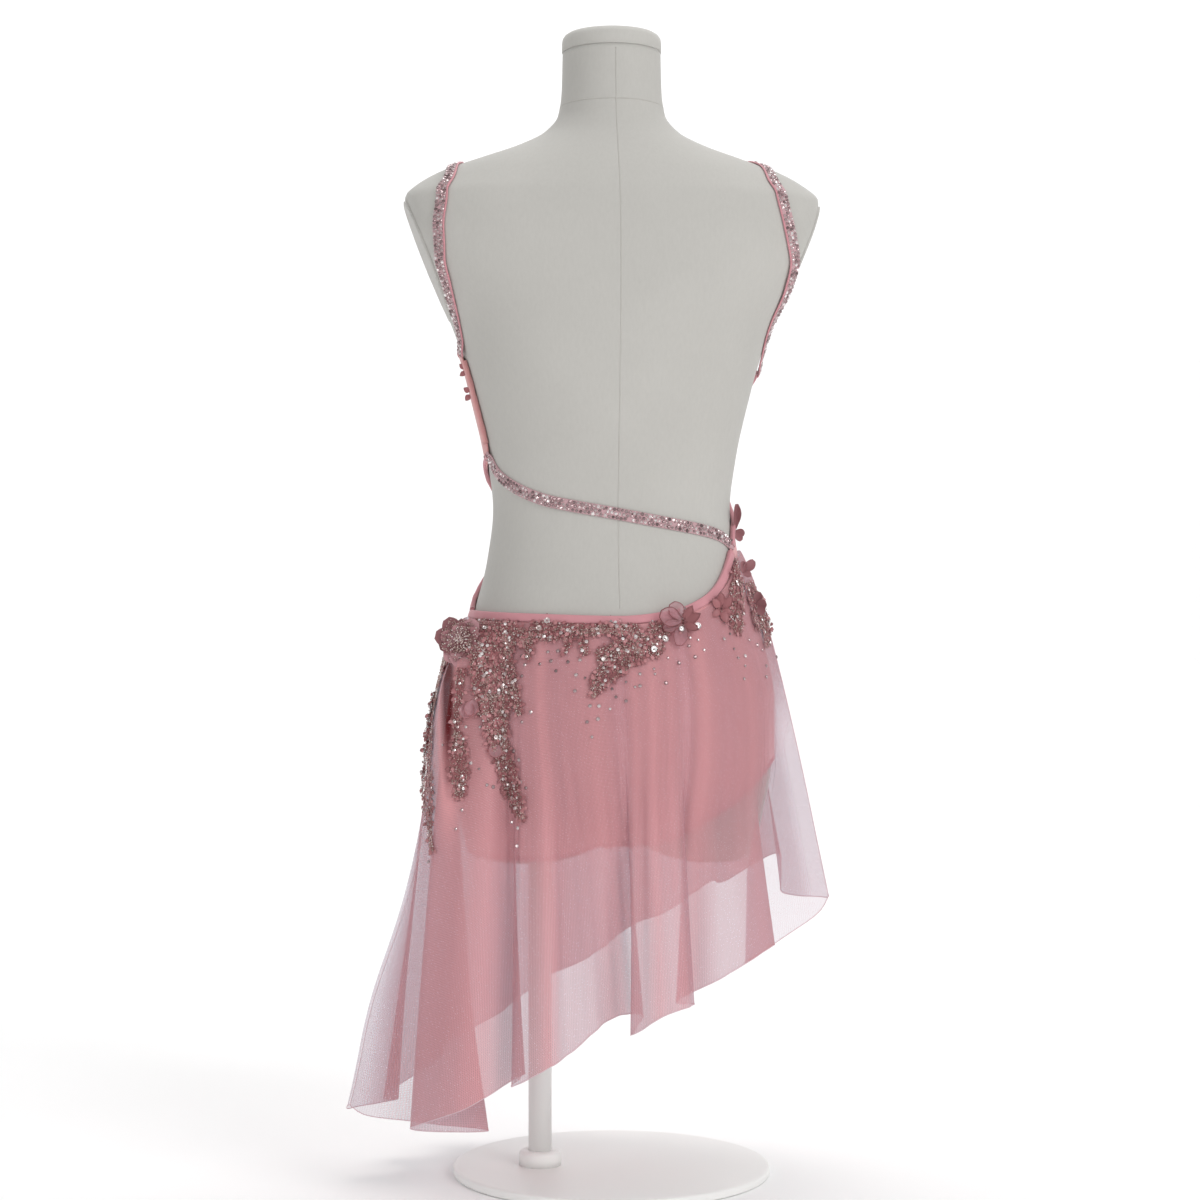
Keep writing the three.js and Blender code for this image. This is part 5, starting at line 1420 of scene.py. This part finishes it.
# Rings of cupped petals round a starburst of seed beads.
def addHipFlower():
    look = hipFlower
    (middle,), (normal,) = land([[look["x"], look["y"]]], petalLook["reach"])[:2]
    facing = unit(look["facing"] * normal - cameraIn)
    middle = middle + facing * look["lift"]
    level = inView([1, 0])
    side = unit(level - np.dot(level, facing) * facing)
    over = np.cross(facing, side)
    at, out, along, size = [], [], [], []
    for ring in range(look["rings"]):
        rise = look["rise"] * (0.5 + 0.8 * ring)
        for k in range(look["petals"]):
            turn = 2 * math.pi * (k + 0.37 * ring) / look["petals"] + rng.uniform(-0.2, 0.2)
            heading = side * math.cos(turn) + over * math.sin(turn)
            at.append(middle + heading * 1.5)
            along.append(heading + facing * rise * 0.4)
            out.append(facing - heading * rise)
            size.append(look["size"] * (1 - 0.22 * ring) * rng.uniform(0.8, 1.12))
    shape, size = petalShape(0.4, 0.1), np.array(size)
    petals = scatter("petals_left_hip", shape, at, out, petalNet, along=along, scale=size, smooth=True)
    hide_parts("flower_left_hip")

    def onFlower(turn, reach, lift):
        around = side * np.cos(turn)[:, None] + over * np.sin(turn)[:, None]
        return middle + facing * lift + reach[:, None] * around

    rayTurn = np.repeat(2 * math.pi * np.arange(look["rays"]) / look["rays"], look["rayBeads"])
    rayReach = look["rayFrom"] + look["rayStep"] * np.tile(np.arange(look["rayBeads"]), look["rays"])
    rays, edges = len(rayTurn), look["edgeBeads"]
    edgeTurn, edgeReach = rng.uniform(0, 2 * math.pi, edges), rng.uniform(*look["edge"], edges)
    places = np.concatenate([
        onFlower(rayTurn, rayReach, look["rayLift"]), onFlower(edgeTurn, edgeReach, look["edgeLift"]),
    ])
    places = places + rng.normal(0, look["jitter"], places.shape)
    tone = np.concatenate([rng.uniform(0.25, 0.9, rays), rng.beta(1.0, 2.0, edges)])
    scale = np.concatenate([np.full(rays, look["rayBead"]), rng.uniform(0.5, look["rayBead"], edges)])
    out = np.tile(facing, (len(places), 1))
    beads = scatter("starburstBeads", beadShape, places, out, beadGlass, scale=scale, tone=tone, smooth=True)


def addFlowers():
    sheer = addPetals("petalsSheer", "sheer", petalShape(), petalSatin)
    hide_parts("flower_back_right")
    addPetals("petalWires", "sheer", petalEdge(), laceYarn)
    leaves = addPetals("petalLeaves", "leaf", leafShape(0.42), laceYarn)
    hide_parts("flower_hip_right", "flower_bodice_left")
    gathered = addPetals("petalsGathered", "gathered", petalShape(), petalNet)
    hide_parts("flower_side_low", "flower_side_top")
    addHipFlower()


addFlowers()
print("applique built")


# The paper's line from behind the camera, flat under the piece and up behind it: depth and height.
paperLine = [(-6000, 0), (2500, 0), (3100, 90), (3400, 400), (3500, 900), (3500, 6000)]
paperShape = {"half": 6000, "below": 0.2}


def addStage():
    floorMaterial = paper("studio paper, matt white", "#fbfbfb")
    points = [(x * mm, y * mm, (z - paperShape["below"]) * mm)
              for x in (-paperShape["half"], paperShape["half"]) for y, z in paperLine]
    count = len(paperLine)
    mesh = bpy.data.meshes.new("studioPaper")
    mesh.from_pydata(points, [], [[i, i + 1, i + 1 + count, i + count] for i in range(count - 1)])
    mesh.materials.append(floorMaterial)
    paperObject = bpy.data.objects.new("studioPaper", mesh)
    scene.collection.objects.link(paperObject)


# Places, aims and sizes of lights are in metres, and power in watts.
lights = table(
    "name place size power aim",
    ("keyLight", (2.3, -2.8, 2.3), 2.2, 55, (0, 0, 0.55)),
    ("fillLight", (-1.7, -2.7, 0.45), 1.4, 12, (0, 0, 0.25)),
    ("paperLight", (0, 0.9, 4.2), 2.4, 75, (0, 3.2, 0.4)),
)
airStrength = 0.54


def addLight(name, place, size, power, aim):
    data = bpy.data.lights.new(name, "AREA")
    data.shape, data.size, data.energy = "DISK", size, power
    lamp = bpy.data.objects.new(name, data)
    lamp.location = place
    lamp.rotation_euler = (Vector(aim) - Vector(place)).to_track_quat("-Z", "Y").to_euler()
    scene.collection.objects.link(lamp)


def addWorld(strength):
    world = bpy.data.worlds.new("studio air")
    world.use_nodes = True
    background = world.node_tree.nodes["Background"]
    background.inputs["Color"].default_value = (1, 1, 1, 1)
    background.inputs["Strength"].default_value = strength
    scene.world = world


def addCamera():
    data = bpy.data.cameras.new("pictureCamera")
    data.sensor_width = shot["sensor"]
    data.lens = shot["sensor"] * shot["distance"] / shot["viewWidth"]
    data.clip_end = shot["farthest"]
    data.dof.use_dof = False
    made = bpy.data.objects.new("pictureCamera", data)
    made.location = Vector(eye * mm)
    made.rotation_euler = Vector(cameraIn).to_track_quat("-Z", "Y").to_euler()
    scene.collection.objects.link(made)
    scene.camera = made


addStage()
addWorld(airStrength)
for light in lights:
    addLight(**light)
addCamera()
print("studio lit")
